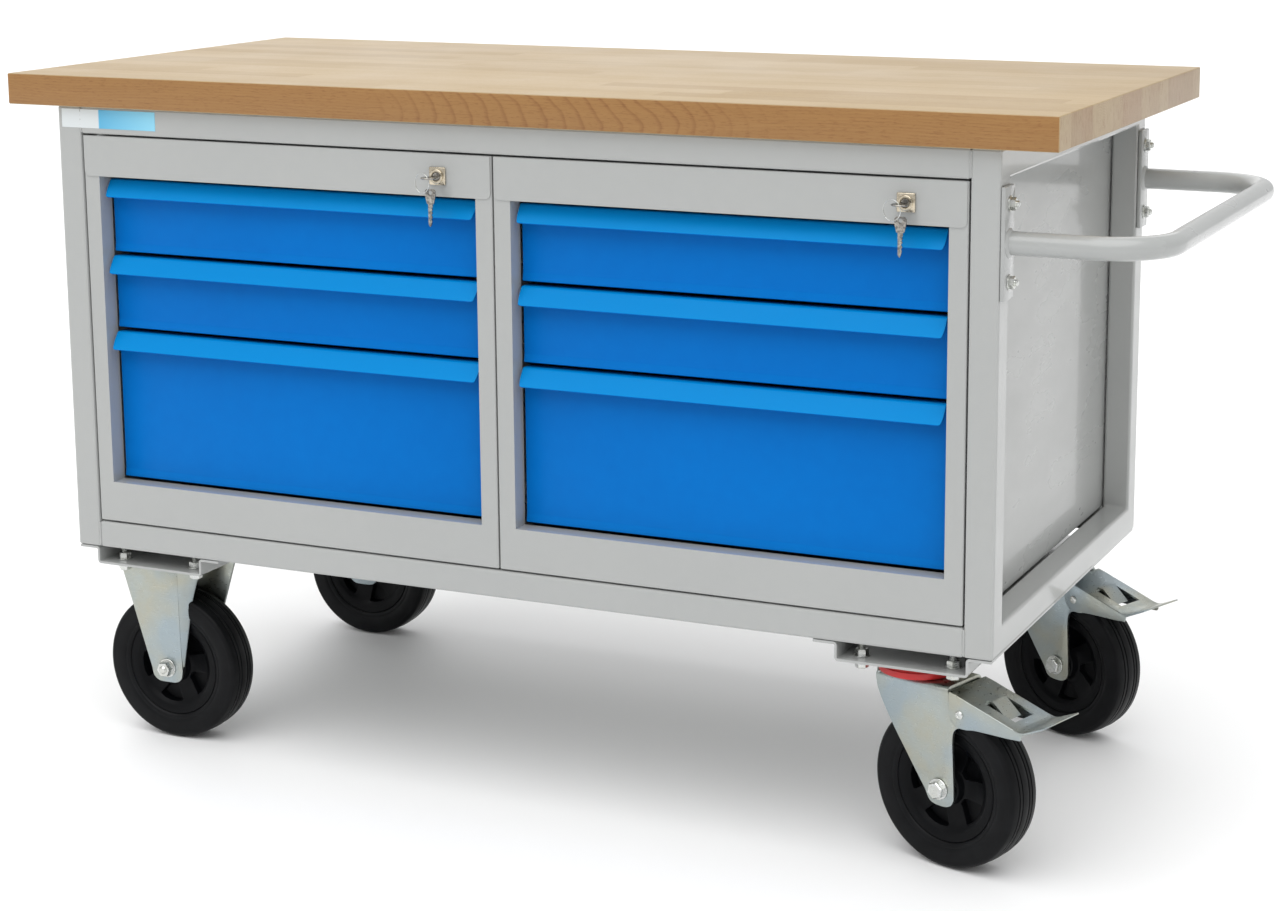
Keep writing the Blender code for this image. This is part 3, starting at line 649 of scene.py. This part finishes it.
# ---- push handle
def push_handle():
    """Bent tube between two bolted plates, with a weld collar at each end."""
    lo, hi = corners("push_handle")
    radius, bend, plate_half, hole = 0.0135, 0.075, 0.0175, 0.044
    z = (lo.z + hi.z) / 2
    y0, y1 = lo.y + plate_half, hi.y - plate_half
    x0, x1 = lo.x + 0.004, hi.x - radius
    flat = [(x0, y0), (x0 + 0.03, y0), (x1 - bend - 0.01, y0)]
    flat += arc((x1 - bend, y0 + bend), bend, -90, 0, 20)
    flat += [(x1, y0 + bend + 0.05), (x1, y1 - bend - 0.05)]
    flat += arc((x1 - bend, y1 - bend), bend, 0, 90, 20)
    flat += [(x1 - bend - 0.01, y1), (x0 + 0.03, y1), (x0, y1)]
    bm = sweep([(px, py, z) for px, py in flat], radius, 40)
    for y in (y0, y1):
        merge(bm, block((lo.x, y - plate_half, lo.z), (lo.x + 0.005, y + plate_half, hi.z),
                        0.0012))
        collar = [(radius - 0.001, 0.0), (radius + 0.0034, 0.0), (radius + 0.003, 0.001),
                  (radius + 0.0012, 0.0026), (radius - 0.001, 0.004)]
        merge(bm, placed(lathe(collar, 40, "Z"), facing(lo.x + 0.0048, y, z, (1, 0, 0))))
    # The handle takes the darker copy of the frame grey, which is painted shade.
    piece("push_handle_bent", bm, SHADED_TUBE_GREY, "bench", ("push_handle",), 40)
    bolts = bmesh.new()
    for y in (y0, y1):
        for dz in (-hole, hole):
            head = hex_head(0.013, 0.0055, 0.0016)
            merge(bolts, placed(head, facing(lo.x + 0.0049, y, z + dz, (1, 0, 0), 0.3 + dz)))
            end = thread(0.004, 0.004)
            merge(bolts, placed(end, facing(lo.x + 0.011, y, z + dz, (1, 0, 0))))
    piece("push_handle_bolts", bolts, BOLT, "bench", sharp=30)


# ---- casters
TRAIL = 0.055           # how far a swivel caster's axle lies behind its kingpin
WHEEL_R = 0.1
CASTER_PLATE = 0.004    # thickness of a top plate
HOLES = (0.056, 0.04)   # its bolt holes, from the middle


def caster_places():
    """End, kind, matrix from caster to bench coordinates and turn at rest of each caster."""
    rows = []
    for end in ENDS:
        x, y, z = JOINTS[end + "_fixed_caster_wheel_roll"]["pos_m"]
        rows.append((end, "fixed", Matrix.Translation((x, y, 0)), 0.0))
        x, y, z = JOINTS[end + "_swivel_turn"]["pos_m"]
        axis = JOINTS[end + "_brake_press"]["axis"]
        rows.append((end, "swivel", Matrix.Translation((x, y, 0)), math.atan2(-axis[0], axis[1])))
    return rows


def tyre_bm():
    """Solid tyre: bulged walls, rounded shoulders and grooves round the tread."""
    half = 0.025
    wall = [(0.0683, -0.021), (0.07, -0.0228), (0.0725, -0.0236), (0.0745, -0.0234),
            (0.076, -0.0243), (0.08, -0.0249), (0.086, -0.025), (0.0905, -0.0246)]
    shoulder = arc((0.0925, -0.018), 0.0066, -100, -28, 6)
    crown = []
    for groove in (-0.0125, -0.0065):
        r = 0.0996 - (abs(groove) / half) ** 2 * 0.0008
        crown += [(r, groove - 0.0011), (r - 0.0016, groove - 0.0006),
                  (r - 0.0016, groove + 0.0006), (r, groove + 0.0011)]
    crown += [(0.09995, -0.0022), (0.09995, 0.0)]
    left = wall + shoulder + crown
    right = [(px, -py) for px, py in reversed(left[:-1])]
    return lathe(left + right, 144, "Y")


def rim_object():
    """Moulded rim with five wedge pockets on each face."""
    half = 0.0205
    profile = [(0.0066, -0.0278), (0.0125, -0.0278), (0.015, -0.0268), (0.0205, -0.0262),
               (0.0222, -0.0245), (0.024, -0.015), (0.03, -0.0128), (0.048, -0.0138),
               (0.053, -0.0165), (0.056, -0.0192), (0.0585, -0.0203), (0.064, -0.0208),
               (0.0668, -0.0214), (0.0681, -half)]
    mirrored = [(px, -py) for px, py in reversed(profile)]
    obj = to_object("rim", lathe(profile + mirrored, 120, "Y"))
    for face in (-1, 1):
        for i in range(5):
            angle = math.radians(72 * i + (0 if face < 0 else 36))
            outline = []
            for r, a in ((0.0262, 9), (0.0258, 0), (0.0262, -9), (0.028, -11.5),
                         (0.0495, -20.5), (0.0512, -19.5), (0.0522, -10), (0.0525, 0),
                         (0.0522, 10), (0.0512, 19.5), (0.0495, 20.5), (0.028, 11.5)):
                turn = angle + math.radians(a)
                outline.append((r * math.cos(turn), r * math.sin(turn)))
            wedge = prism(outline, "Y", face * 0.0035, face * 0.04)
            boolean(obj, wedge, "DIFFERENCE")
    return soften(obj, 0.0007, 2, 38)


def axle_bm():
    """Bolt head, shank, washers, nut and thread end, along Y."""
    grip, across = 0.0342, 0.0185
    bm = rod(0.0058, grip, 24, "Y")
    head = hex_head(across, 0.0072, 0.0016)
    merge(bm, placed(head, facing(0, -grip, 0, (0, -1, 0), 0.35)))
    nut = hex_head(across, 0.0088, 0.0016)
    merge(bm, placed(nut, facing(0, grip, 0, (0, 1, 0), 0.1)))
    merge(bm, placed(thread(0.0056, 0.003), facing(0, grip + 0.0085, 0, (0, 1, 0))))
    return bm


def wheel(prefix, place, body, holder, rim_mesh, spin):
    """Tyre and rim on the wheel's body, axle on the body that holds it."""
    turn = place @ Matrix.Rotation(spin, 4, "Y")
    piece(prefix + "_tread", placed(tyre_bm(), turn), RUBBER, body,
          (prefix + "_tyre",), 32)
    rim = bmesh.new()
    rim.from_mesh(rim_mesh)
    piece(prefix + "_wheel_centre", placed(rim, turn), RIM, body,
          (prefix + "_rim",), 32)
    flip = Matrix.Rotation(math.pi, 4, "Z") if "fixed" in prefix else Matrix.Identity(4)
    piece(prefix + "_axle_bolt", placed(axle_bm(), place @ flip), BOLT, holder,
          (prefix + "_axle",), 30)


def u_shell(half, thick, top, bottom, radius, x0, x1):
    """Upside-down U of sheet with rounded bends, run along X."""
    steps = 8
    outer = [(-half, bottom)] + arc((-half + radius, top - radius), radius, 180, 90, steps)
    outer += arc((half - radius, top - radius), radius, 90, 0, steps) + [(half, bottom)]
    inner_r = max(radius - thick, 0.0008)
    h = half - thick
    t = top - thick
    inner = [(h, bottom)] + arc((h - inner_r, t - inner_r), inner_r, 0, 90, steps)
    inner += arc((-h + inner_r, t - inner_r), inner_r, 90, 180, steps) + [(-h, bottom)]
    return prism(outer + inner, "X", x0, x1)


def curve_between(points, steps):
    """Smooth line through points (Catmull-Rom), with some steps from each to the next."""
    pts = [points[0]] + list(points) + [points[-1]]
    out = []
    for i in range(1, len(pts) - 2):
        p0, p1, p2, p3 = (Vector(p) for p in pts[i - 1:i + 3])
        for s in range(steps):
            t = s / steps
            out.append(tuple(0.5 * ((2 * p1) + (p2 - p0) * t + (2 * p0 - 5 * p1 + 4 * p2 - p3)
                                    * t * t + (3 * p1 - p0 - 3 * p2 + p3) * t ** 3)))
    out.append(tuple(points[-1]))
    return out


def swivel_fork(end, place):
    """Pressed fork: a bent sheet cut to its side outline, a round crown, rivets and kingpin nut."""
    node = end + "_swivel_caster_fork"
    top = corners(node)[1].z
    shell = to_object("fork", u_shell(0.034, 0.004, top, 0.06, 0.007, -0.06, 0.11))
    tip = curve_between([(0.0388, 0.0905), (0.0425, 0.0845), (0.049, 0.0812), (0.058, 0.0802),
                         (0.067, 0.0808), (0.0735, 0.0845), (0.0765, 0.091)], 4)
    back = curve_between([(0.0762, 0.105), (0.075, 0.13), (0.0736, 0.158), (0.0745, 0.1715),
                          (0.079, 0.178), (0.085, 0.1805), (0.09, 0.185),
                          (0.0918, 0.195), (0.088, 0.2055), (0.079, 0.211),
                          (0.07, 0.215), (0.0665, 0.219), (0.0655, top + 0.003)], 6)
    front = curve_between([(-0.037, top + 0.004), (-0.0362, 0.215), (-0.0335, 0.203),
                           (-0.0255, 0.187), (-0.01, 0.162), (0.008, 0.136),
                           (0.024, 0.113), (0.0378, 0.0935)], 6)
    outline = tip + back + front[:-1]
    boolean(shell, prism(outline, "Y", -0.05, 0.05), "INTERSECT")
    crown = arc((0, 0), 0.0485, 134, 226, 20)
    crown += [(-0.03, -0.03), (0.0, -0.029), (0.0, 0.029), (-0.03, 0.03)]
    disc = to_object("disc", prism(crown, "Z", top - 0.004, top - 0.0001))
    soften(disc, 0.0012, 3, 60)
    axle_hole = shifted(rod(0.0064, 0.05, 24, "Y"), TRAIL, 0, WHEEL_R)
    boolean(shell, axle_hole, "DIFFERENCE")
    soften(shell, 0.0006, 2, 30)
    piece(end + "_fork_pressed", placed(gathered(shell, disc), place), ZINC, end + "_swivel",
          (node,), 30)
    extra = bmesh.new()
    rivet = [(0.0, 0.0), (0.0052, 0.0), (0.0052, 0.0012), (0.004, 0.0022), (0.0022, 0.0024),
             (0.0016, 0.0014), (0.0, 0.0014)]
    for side in (-1, 1):
        spot = facing(0.085, side * 0.0369, 0.197, (0, side, 0))
        merge(extra, placed(lathe(rivet, 24, "Z", closed=False), spot))
    kingpin = hex_head(0.02, 0.008)
    merge(extra, placed(kingpin, facing(0, 0, top - 0.0041, (0, 0, -1))))
    piece(end + "_fork_rivets", placed(extra, place), BOLT, end + "_swivel",
          sharp=30)


def brake_pedal(end, place):
    """Pressed pedal: top sheet from the crown to an upturned lip, cheeks outside the fork."""
    node = end + "_swivel_caster_pedal"
    far, near = 0.037, 0.0345
    top_edge = curve_between([(0.0692, 0.2221), (0.082, 0.219), (0.0955, 0.2149),
                              (0.1247, 0.2064), (0.15, 0.1988), (0.1672, 0.1936)], 6)
    end_face = curve_between([(0.1672, 0.1936), (0.169, 0.1915), (0.1688, 0.1868),
                              (0.1672, 0.1846)], 4)
    low_edge = curve_between([(0.1672, 0.1846), (0.15, 0.1836), (0.12, 0.1831),
                              (0.104, 0.1824), (0.093, 0.1806), (0.081, 0.1815),
                              (0.0738, 0.1868), (0.0702, 0.196), (0.0692, 0.209),
                              (0.069, 0.218)], 6)
    outline = top_edge[:-1] + end_face[:-1] + low_edge
    wedge = to_object("pedal", prism(outline, "Y", -far, far))
    soften(wedge, 0.0022, 3, 60)
    cavity = [(px, pz - 0.0025) for px, pz in top_edge]
    cavity = [(0.05, 0.2244)] + cavity + [(0.2, 0.1842), (0.2, 0.12), (0.05, 0.12)]
    boolean(wedge, prism(cavity, "Y", -near, near), "DIFFERENCE")
    slot = [(0.108, -0.0195), (0.15, -0.0195), (0.15, 0.0195), (0.108, 0.0195)]
    boolean(wedge, prism(slot, "Z", 0.14, 0.24), "DIFFERENCE")
    lip = curve_between([(0.158, 0.1962), (0.166, 0.1946), (0.172, 0.1954),
                         (0.18, 0.1986), (0.1978, 0.2064)], 4)
    lip += [(0.1985, 0.2058), (0.1984, 0.2046)]
    lip += curve_between([(0.1808, 0.1964), (0.173, 0.193), (0.1665, 0.1918),
                          (0.158, 0.1936)], 4)
    lip_obj = to_object("lip", prism(lip, "Y", -0.0368, 0.0368))
    soften(lip_obj, 0.0005, 2, 50)
    tongue = prism([(0.106, 0.2114), (0.114, 0.21), (0.134, 0.1945), (0.136, 0.1957),
                    (0.116, 0.2126), (0.107, 0.214)], "Y", -0.0135, 0.0135)
    bm = merge(gathered(wedge, lip_obj), tongue)
    piece(end + "_pedal_pressed", placed(bm, place), ZINC, end + "_brake_pedal",
          (node,), 32)


def fixed_leg(top):
    """Near leg: flat face with a folded wing along its right edge."""
    left = curve_between([(-0.069, top), (-0.0545, 0.1935), (-0.038, 0.14),
                          (-0.0248, 0.098)], 8)
    tip = curve_between([(-0.0248, 0.098), (-0.0222, 0.0875), (-0.014, 0.0812),
                         (0.0, 0.0803), (0.014, 0.0812), (0.0215, 0.087),
                         (0.0238, 0.098)], 5)
    fold = [(0.103, 0.0232), (0.14, 0.0225), (0.19, 0.0215), (top, 0.0212)]
    face = left[:-1] + tip + [(x, z) for z, x in fold[1:]]
    bm = prism(face, "Y", -0.034, -0.0302)
    edge_x = [(0.103, 0.0258), (0.14, 0.03), (0.19, 0.035), (0.215, 0.0395),
              (top, 0.046)]
    edge_y = [(0.103, -0.03), (0.14, -0.0262), (0.19, -0.0205), (0.215, -0.016),
              (top, -0.01)]
    rows = []
    for z in (0.103, 0.12, 0.14, 0.16, 0.18, 0.195, 0.207, 0.217, 0.226, top):
        fx, ex, ey = (interpolate(table, z) for table in (fold, edge_x, edge_y))
        row = []
        for i in range(7):
            f = i / 6
            row.append(bm.verts.new((fx - 0.0008 + (ex - fx) * f,
                                     -0.0338 + (ey + 0.0338) * f ** 1.35, z)))
        rows.append(row)
    back = []
    for row in rows:
        back.append([bm.verts.new((v.co.x - 0.0014, v.co.y + 0.0028, v.co.z)) for v in row])
    for here, there, behind, beyond in zip(rows, rows[1:], back, back[1:]):
        for i in range(6):
            bm.faces.new((here[i], here[i + 1], there[i + 1], there[i]))
            bm.faces.new((behind[i], beyond[i], beyond[i + 1], behind[i + 1]))
        bm.faces.new((here[6], behind[6], beyond[6], there[6]))
    for i in range(6):
        bm.faces.new((rows[0][i], back[0][i], back[0][i + 1], rows[0][i + 1]))
    return bm


def interpolate(table, value):
    """Straight-line value from a table of (place, value) pairs."""
    for (x0, y0), (x1, y1) in zip(table, table[1:]):
        if value <= x1:
            return y0 + (y1 - y0) * (value - x0) / (x1 - x0)
    return table[-1][1]


def fixed_bracket(end, place):
    """Top plate with two legs, the far one being the near one turned half round."""
    node = end + "_fixed_caster_bracket"
    top = corners(node)[1].z
    near = gathered(soften(to_object("leg", fixed_leg(top - 0.0036)), 0.0006))
    far = placed(near.copy(), Matrix.Rotation(math.pi, 4, "Z"))
    plate = to_object("plate", block((-0.07, -0.0525, top - CASTER_PLATE), (0.07, 0.0525, top)))
    bm = merge(merge(far, near), gathered(soften(plate, 0.0006)))
    piece(end + "_bracket_pressed", placed(bm, place), ZINC, "bench",
          (node,), 32)


def plate_bolts(end, kind, place, plate_z, web_z):
    """Four bolts: heads under the caster plate, nuts and thread ends in the channel."""
    bm = bmesh.new()
    for sx in (-1, 1):
        for sy in (-1, 1):
            x, y = sx * HOLES[0], sy * HOLES[1]
            head = hex_head(0.0145, 0.0058, 0.0014)
            merge(bm, placed(head, facing(x, y, plate_z, (0, 0, -1), 0.4 * sx + sy)))
            nut = hex_head(0.0145, 0.007, 0.0014)
            merge(bm, placed(nut, facing(x, y, web_z, (0, 0, 1), 0.7 * sx)))
            merge(bm, placed(thread(0.0045, 0.0075), facing(x, y, web_z + 0.008, (0, 0, 1))))
    piece("_".join((end, kind, "caster_bolts")), placed(bm, place), BOLT, "bench",
          sharp=30)


def dust_ring(end, place):
    """Red seal between the top plate and the fork."""
    node = end + "_swivel_caster_dust_ring"
    z0, z1 = (corner.z for corner in corners(node))
    profile = [(0.021, z0), (0.0445, z0), (0.0468, z0 + 0.001), (0.0479, z0 + 0.0035),
               (0.0479, z1 - 0.005), (0.0465, z1 - 0.0042), (0.0455, z1 - 0.002),
               (0.0435, z1), (0.021, z1)]
    bm = placed(lathe(profile, 72, "Z"), place)
    piece(end + "_seal_ring", bm, RED, "bench", (node,), 32)


def casters():
    """Two fixed and two swivel casters."""
    rim = rim_object()
    rim_mesh = rim.data
    for i, (end, kind, place, turn) in enumerate(caster_places()):
        prefix = "_".join((end, kind, "caster"))
        turned = place @ Matrix.Rotation(turn, 4, "Z")
        plate = prefix + ("_top_plate" if kind == "swivel" else "_bracket")
        top = corners(plate)[1].z
        web = corners("left_caster_channel")[0].z + CHANNEL_SHEET
        if kind == "fixed":
            wheel(prefix, place @ Matrix.Translation((0, 0, WHEEL_R)), prefix + "_wheel",
                  "bench", rim_mesh, 0.5 + i)
            fixed_bracket(end, place)
        else:
            wheel(prefix, turned @ Matrix.Translation((TRAIL, 0, WHEEL_R)), prefix + "_wheel",
                  end + "_swivel", rim_mesh, 0.9 + i)
            swivel_fork(end, turned)
            brake_pedal(end, turned)
            dust_ring(end, place)
            own_cad(prefix + "_top_plate", ZINC)
        plate_bolts(end, kind, place, top - CASTER_PLATE, web)
    bpy.data.objects.remove(rim, do_unlink=True)


# ---- cabinets and drawers
def lip_section(y, z1):
    """Outer line of the pull lip from the top of the front down to its rim."""
    knots = ((0.0012, -0.0012), (-0.0002, -0.0002), (-0.0035, 0.0), (-0.0062, -0.001),
             (-0.0086, -0.004), (-0.0114, -0.008), (-0.0142, -0.012), (-0.017, -0.016),
             (-0.0198, -0.02), (-0.0205, -0.0212), (-0.0197, -0.022))
    return curve_between([(y + a, z1 + b) for a, b in knots], 3)


def pull_lip(name, x0, x1, y, z1):
    """Flared sheet lip with its lower corners rounded off."""
    section = lip_section(y, z1)
    count = len(section)
    corner, shortening = 0.009, 0.5
    stations = [corner * (1 - math.cos(math.pi / 2 * i / 8)) for i in range(9)]
    xs = [x0 + s for s in stations] + [x1 - s for s in reversed(stations)]
    bm = bmesh.new()
    rows = []
    for x in xs:
        edge = min(x - x0, x1 - x)
        cut = 0.0
        if edge < corner:
            cut = 1 - math.sqrt(max(0.0, 1 - (1 - edge / corner) ** 2))
        row = []
        for j in range(count):
            f = j * (1 - shortening * cut)
            k = min(int(f), count - 2)
            py, pz = Vector(section[k]).lerp(Vector(section[k + 1]), f - k)
            row.append(bm.verts.new((x, py, pz)))
        rows.append(row)
    for here, there in zip(rows, rows[1:]):
        for j in range(count - 1):
            bm.faces.new((here[j], here[j + 1], there[j + 1], there[j]))
    obj = to_object(name, bm)
    if sum(face.normal.y for face in obj.data.polygons) > 0:
        obj.data.flip_normals()
    thick = obj.modifiers.new("sheet", "SOLIDIFY")
    thick.thickness = 0.0013
    thick.offset = -1.0
    apply_modifiers(obj)
    return soften(obj, 0.00045, 2, 50)


def drawer_front(side, level):
    """Folded front: flat face, soft bottom fold, side returns and pull lip."""
    prefix = "_".join((side, level, "drawer"))
    lo, hi = corners(prefix + "_front")
    y = hi.y - 0.014
    x0, x1 = lo.x, hi.x
    z0, z1 = lo.z, hi.z
    fold = 0.0105
    section = [(y, z1 - 0.003), (y + 0.0003, z1 - 0.0012), (y + 0.0012, z1 - 0.0002),
               (hi.y, z1), (hi.y, z0), (y - 0.0008, z0), (y - 0.0018, z0 + 0.0009),
               (y - 0.0004, z0 + fold - 0.0012), (y - 0.0001, z0 + fold), (y, z0 + fold + 0.0014)]
    pan = to_object("pan", prism(section, "X", x0 + 0.0004, x1 - 0.0004))
    soften(pan, 0.0008, 2, 60)
    hollow = block((x0 + 0.0016, y + 0.0062, z0 + 0.0012), (x1 - 0.0016, hi.y + 0.01, z1 - 0.0012))
    boolean(pan, hollow, "DIFFERENCE")
    lip = pull_lip("lip", x0 + 0.0015, x1 - 0.0035, y, z1)
    piece(prefix + "_front_folded", gathered(pan, lip), BLUE, prefix,
          (prefix + "_front",), 32)


def rollers(side):
    """Roller at the front of each runner rail."""
    roller = [(0.0, 0.0), (0.009, 0.0), (0.0098, 0.0008), (0.0098, 0.0052),
              (0.009, 0.006), (0.004, 0.006), (0.0036, 0.0068), (0.0, 0.0068)]
    for hand, sign in (("left", 1), ("right", -1)):
        lo, hi = corners(side + "_cabinet_runners_" + hand)
        wall = lo.x if hand == "left" else hi.x
        bm = bmesh.new()
        for level in LEVELS:
            z = corners("_".join((side, level, "drawer_box")))[0].z + 0.0275
            spot = facing(wall + sign * 0.0137, lo.y + 0.02, z, (sign, 0, 0))
            merge(bm, placed(lathe(roller, 28, "Z", closed=False), spot))
        piece("_".join((side, hand, "runner_rollers")), bm, ROLLER, "bench", sharp=30)


# ---- locks and keys
def key_blade(x, y, z, length, width, seed):
    """Flat blade pointing +Y from a point, with cuts along one edge."""
    dice = random.Random(seed)
    outline = [(0.0, -width / 2), (length - 0.002, -width / 2), (length, -width * 0.2),
               (length - 0.002, width * 0.32)]
    steps = 7
    for i in range(steps):
        along = (length - 0.003) * (1 - (i + 0.5) / steps)
        outline.append((along, width / 2 - 0.0016 * dice.random()))
    outline.append((0.0, width / 2))
    bm = prism([(b, a) for a, b in outline], "Z", -0.0009, 0.0009)
    return shifted(bm, x, y, z)


def locks(side):
    """Square escutcheon with its barrel, the key in it and the ring with the second key."""
    lo, hi = corners(side + "_lock_body")
    x, z = (lo.x + hi.x) / 2, (lo.z + hi.z) / 2
    face = JOINTS[side + "_key_turn"]["pos_m"][1]
    plate = block((lo.x, face - 0.003, lo.z), (hi.x, face - 0.0001, hi.z), 0.0013, 3)
    ring = [(0.0052, 0.0), (0.0086, 0.0), (0.0086, 0.005), (0.008, 0.0056), (0.0062, 0.0056),
            (0.0054, 0.0048)]
    merge(plate, placed(lathe(ring, 48, "Z"), facing(x, face, z, (0, -1, 0))))
    merge(plate, shifted(rod(0.0086, 0.01, 32, "Y"), x, face + 0.011, z))
    piece(side + "_lock_escutcheon", plate, NICKEL, "bench",
          (side + "_lock_body",), 32)
    bow_y = corners(side + "_lock_key")[0].y + 0.01
    plug = [(0.0, 0.0), (0.005, 0.0), (0.005, 0.0046), (0.0046, 0.005), (0.0, 0.005)]
    bm = placed(lathe(plug, 36, "Z", closed=False), facing(x, face, z, (0, -1, 0)))
    rim = [(0.0, -0.0009), (0.0096, -0.0009), (0.01, -0.0004), (0.01, 0.0004),
           (0.0096, 0.0009), (0.0, 0.0009)]
    bow = to_object("bow", shifted(lathe(rim, 40, "Z", closed=False), x, bow_y, z))
    boolean(bow, shifted(rod(0.003, 0.01, 24, "Z"), x, bow_y - 0.0045, z), "DIFFERENCE")
    merge(bm, gathered(bow))
    merge(bm, key_blade(x, bow_y + 0.007, z, face - bow_y - 0.008, 0.0076, 3))
    piece(side + "_key_in_lock", bm, KEY, side + "_key",
          (side + "_lock_key",), 32)
    hanging_key(side, x)


def hanging_key(side, x):
    """Split ring through the bow, with the second key on it."""
    s_lo, s_hi = corners(side + "_spare_key")
    y = (s_lo.y + s_hi.y) / 2
    top = s_hi.z
    radius = 0.012
    centre = Vector((x - 0.009, y - 0.004, top + 0.0072))
    turns, steps = 1.65, 60
    path = []
    for i in range(steps + 1):
        angle = math.radians(360 * turns * i / steps + 100)
        drift = 0.0006 * (i / steps - 0.5)
        path.append(centre + Vector((radius * math.cos(angle) * 0.95,
                                     radius * math.cos(angle) * -0.3 + drift,
                                     radius * math.sin(angle))))
    ring = sweep(path, 0.00045, 8)
    body = side + "_spare_key_hanging"
    piece(side + "_key_ring", ring, BOLT, body, sharp=60)
    t = 0.0009
    outline = [(-0.0048, 0.0), (0.0048, 0.0), (0.007, -0.0022), (0.0074, -0.006),
               (0.006, -0.013), (0.0046, -0.018), (-0.0046, -0.018), (-0.006, -0.013),
               (-0.0074, -0.006), (-0.007, -0.0022)]
    bow = to_object("bow", prism([(x + a, top + b) for a, b in outline], "Y", y - t, y + t))
    boolean(bow, shifted(rod(0.0024, 0.01, 20, "Y"), x, y, top - 0.0045), "DIFFERENCE")
    soften(bow, 0.0003, 2, 50)
    blade = [(-0.003, -0.0175), (0.003, -0.0175), (0.003, -0.0215), (0.0018, -0.023),
             (0.0028, -0.025), (0.0014, -0.027), (0.0026, -0.029), (0.001, -0.0315),
             (0.0024, -0.034), (0.0012, -0.0365), (0.002, -0.039), (0.0006, -0.044),
             (-0.0008, -0.046), (-0.0028, -0.043)]
    cut = prism([(x + a, top + b) for a, b in blade], "Y", y - 0.0008, y + 0.0008)
    piece(side + "_spare_key_cut", merge(gathered(bow), cut), KEY, body,
          (side + "_spare_key",), 32)


def nameplate():
    """Thin film on the front top rail."""
    lo, hi = corners("front_top_rail")
    bm = block((LABEL_X[0], lo.y - 0.0005, hi.z - 0.0275),
               (LABEL_X[1], lo.y + 0.0004, hi.z - 0.0035), 0.0002, 1)
    piece("plain_nameplate_film", bm, LABEL, "bench", sharp=30)


# ---- stage
def light(kind, name, energy, direction, place=(0, 0, 0)):
    """Lamp at a place that shines in a direction."""
    data = bpy.data.lights.new(name, kind)
    data.energy = energy
    obj = bpy.data.objects.new(name, data)
    obj.location = place
    obj.rotation_mode = "QUATERNION"
    obj.rotation_quaternion = Vector(direction).to_track_quat("-Z", "Y")
    bpy.context.scene.collection.objects.link(obj)
    return data


def distant(name, direction, energy, spread):
    """Very soft light from far away, with its spread in degrees."""
    light("SUN", name, energy, direction).angle = math.radians(spread)


def softbox(name, place, aim, size, power):
    """Square soft light aimed at a point."""
    data = light("AREA", name, power, Vector(aim) - Vector(place), place)
    data.shape = "SQUARE"
    data.size = size


def stage():
    """Plain pale floor, even white surroundings and four soft lights."""
    outline = [(-14, -10), (14, -10), (14, 18), (-14, 18)]
    floor = to_object("floor", prism(outline, "Z", -0.02, 0.0))
    m = Mat("pale_floor", roughness=0.65)
    m.colour(m.mix(m.noise(m.place(), 1.2, 2.0), (0.9, 0.9, 0.9), (0.93, 0.93, 0.93)))
    floor.data.materials.append(m.mat)
    world = bpy.data.worlds.new("studio")
    bpy.context.scene.world = world
    world.use_nodes = True
    back = world.node_tree.nodes["Background"]
    back.inputs["Color"].default_value = (0.99, 0.995, 1.0, 1.0)
    back.inputs["Strength"].default_value = 0.66
    distant("soft_key", (-0.05, 0.39, -0.92), 2.1, 70)
    distant("back_fill", (0.45, -0.68, -0.58), 0.55, 60)
    softbox("front_left_softbox", (-2.6, -3.4, 2.2), (0, 0, 0.5), 2.4, 7)
    softbox("right_softbox", (3.6, -0.6, 1.9), (0, 0, 0.6), 2.0, 3)


def camera():
    """Eye a little above the worktop, in front and to the right."""
    data = bpy.data.cameras.new("camera")
    data.sensor_width = 36.0
    data.lens = 72.34
    data.shift_x = -0.0482
    data.shift_y = -0.103
    cam = bpy.data.objects.new("camera", data)
    yaw, pitch, roll = math.radians(23.981), math.radians(10.7), math.radians(-0.215)
    turn = Matrix.Rotation(yaw, 4, "Z") @ Matrix.Rotation(math.pi / 2 - pitch, 4, "X")
    turn = turn @ Matrix.Rotation(roll, 4, "Z")
    cam.matrix_world = Matrix.Translation((1.4056, -2.9831, 1.1848)) @ turn
    bpy.context.scene.collection.objects.link(cam)
    bpy.context.scene.camera = cam


# ---- put it together
def plain_nodes():
    """Materials of the CAD nodes that are shown as they are."""
    for end in ENDS:
        own_cad(end + "_top_rail", GREY)
        own_cad(end + "_bottom_rail", GREY)
    for side in SIDES:
        own_cad(side + "_end_frame", GREY)
        # The shells take the darker copy of the frame grey, which is painted shade.
        own_cad(side + "_cabinet_shell", SHADED_SHEET_GREY)
        for part in ("fascia", "runners_left", "runners_right"):
            own_cad("_".join((side, "cabinet", part)), GREY)
        own_cad(side + "_lock_bar", BOLT)
        for level in LEVELS:
            own_cad("_".join((side, level, "drawer_box")), GREY)


camera()
stage()
worktop()
plain_nodes()
frame_welds()
caster_channels()
push_handle()
casters()
for side in SIDES:
    for level in LEVELS:
        drawer_front(side, level)
    rollers(side)
    locks(side)
nameplate()

bpy.context.scene.view_settings.view_transform = "Standard"
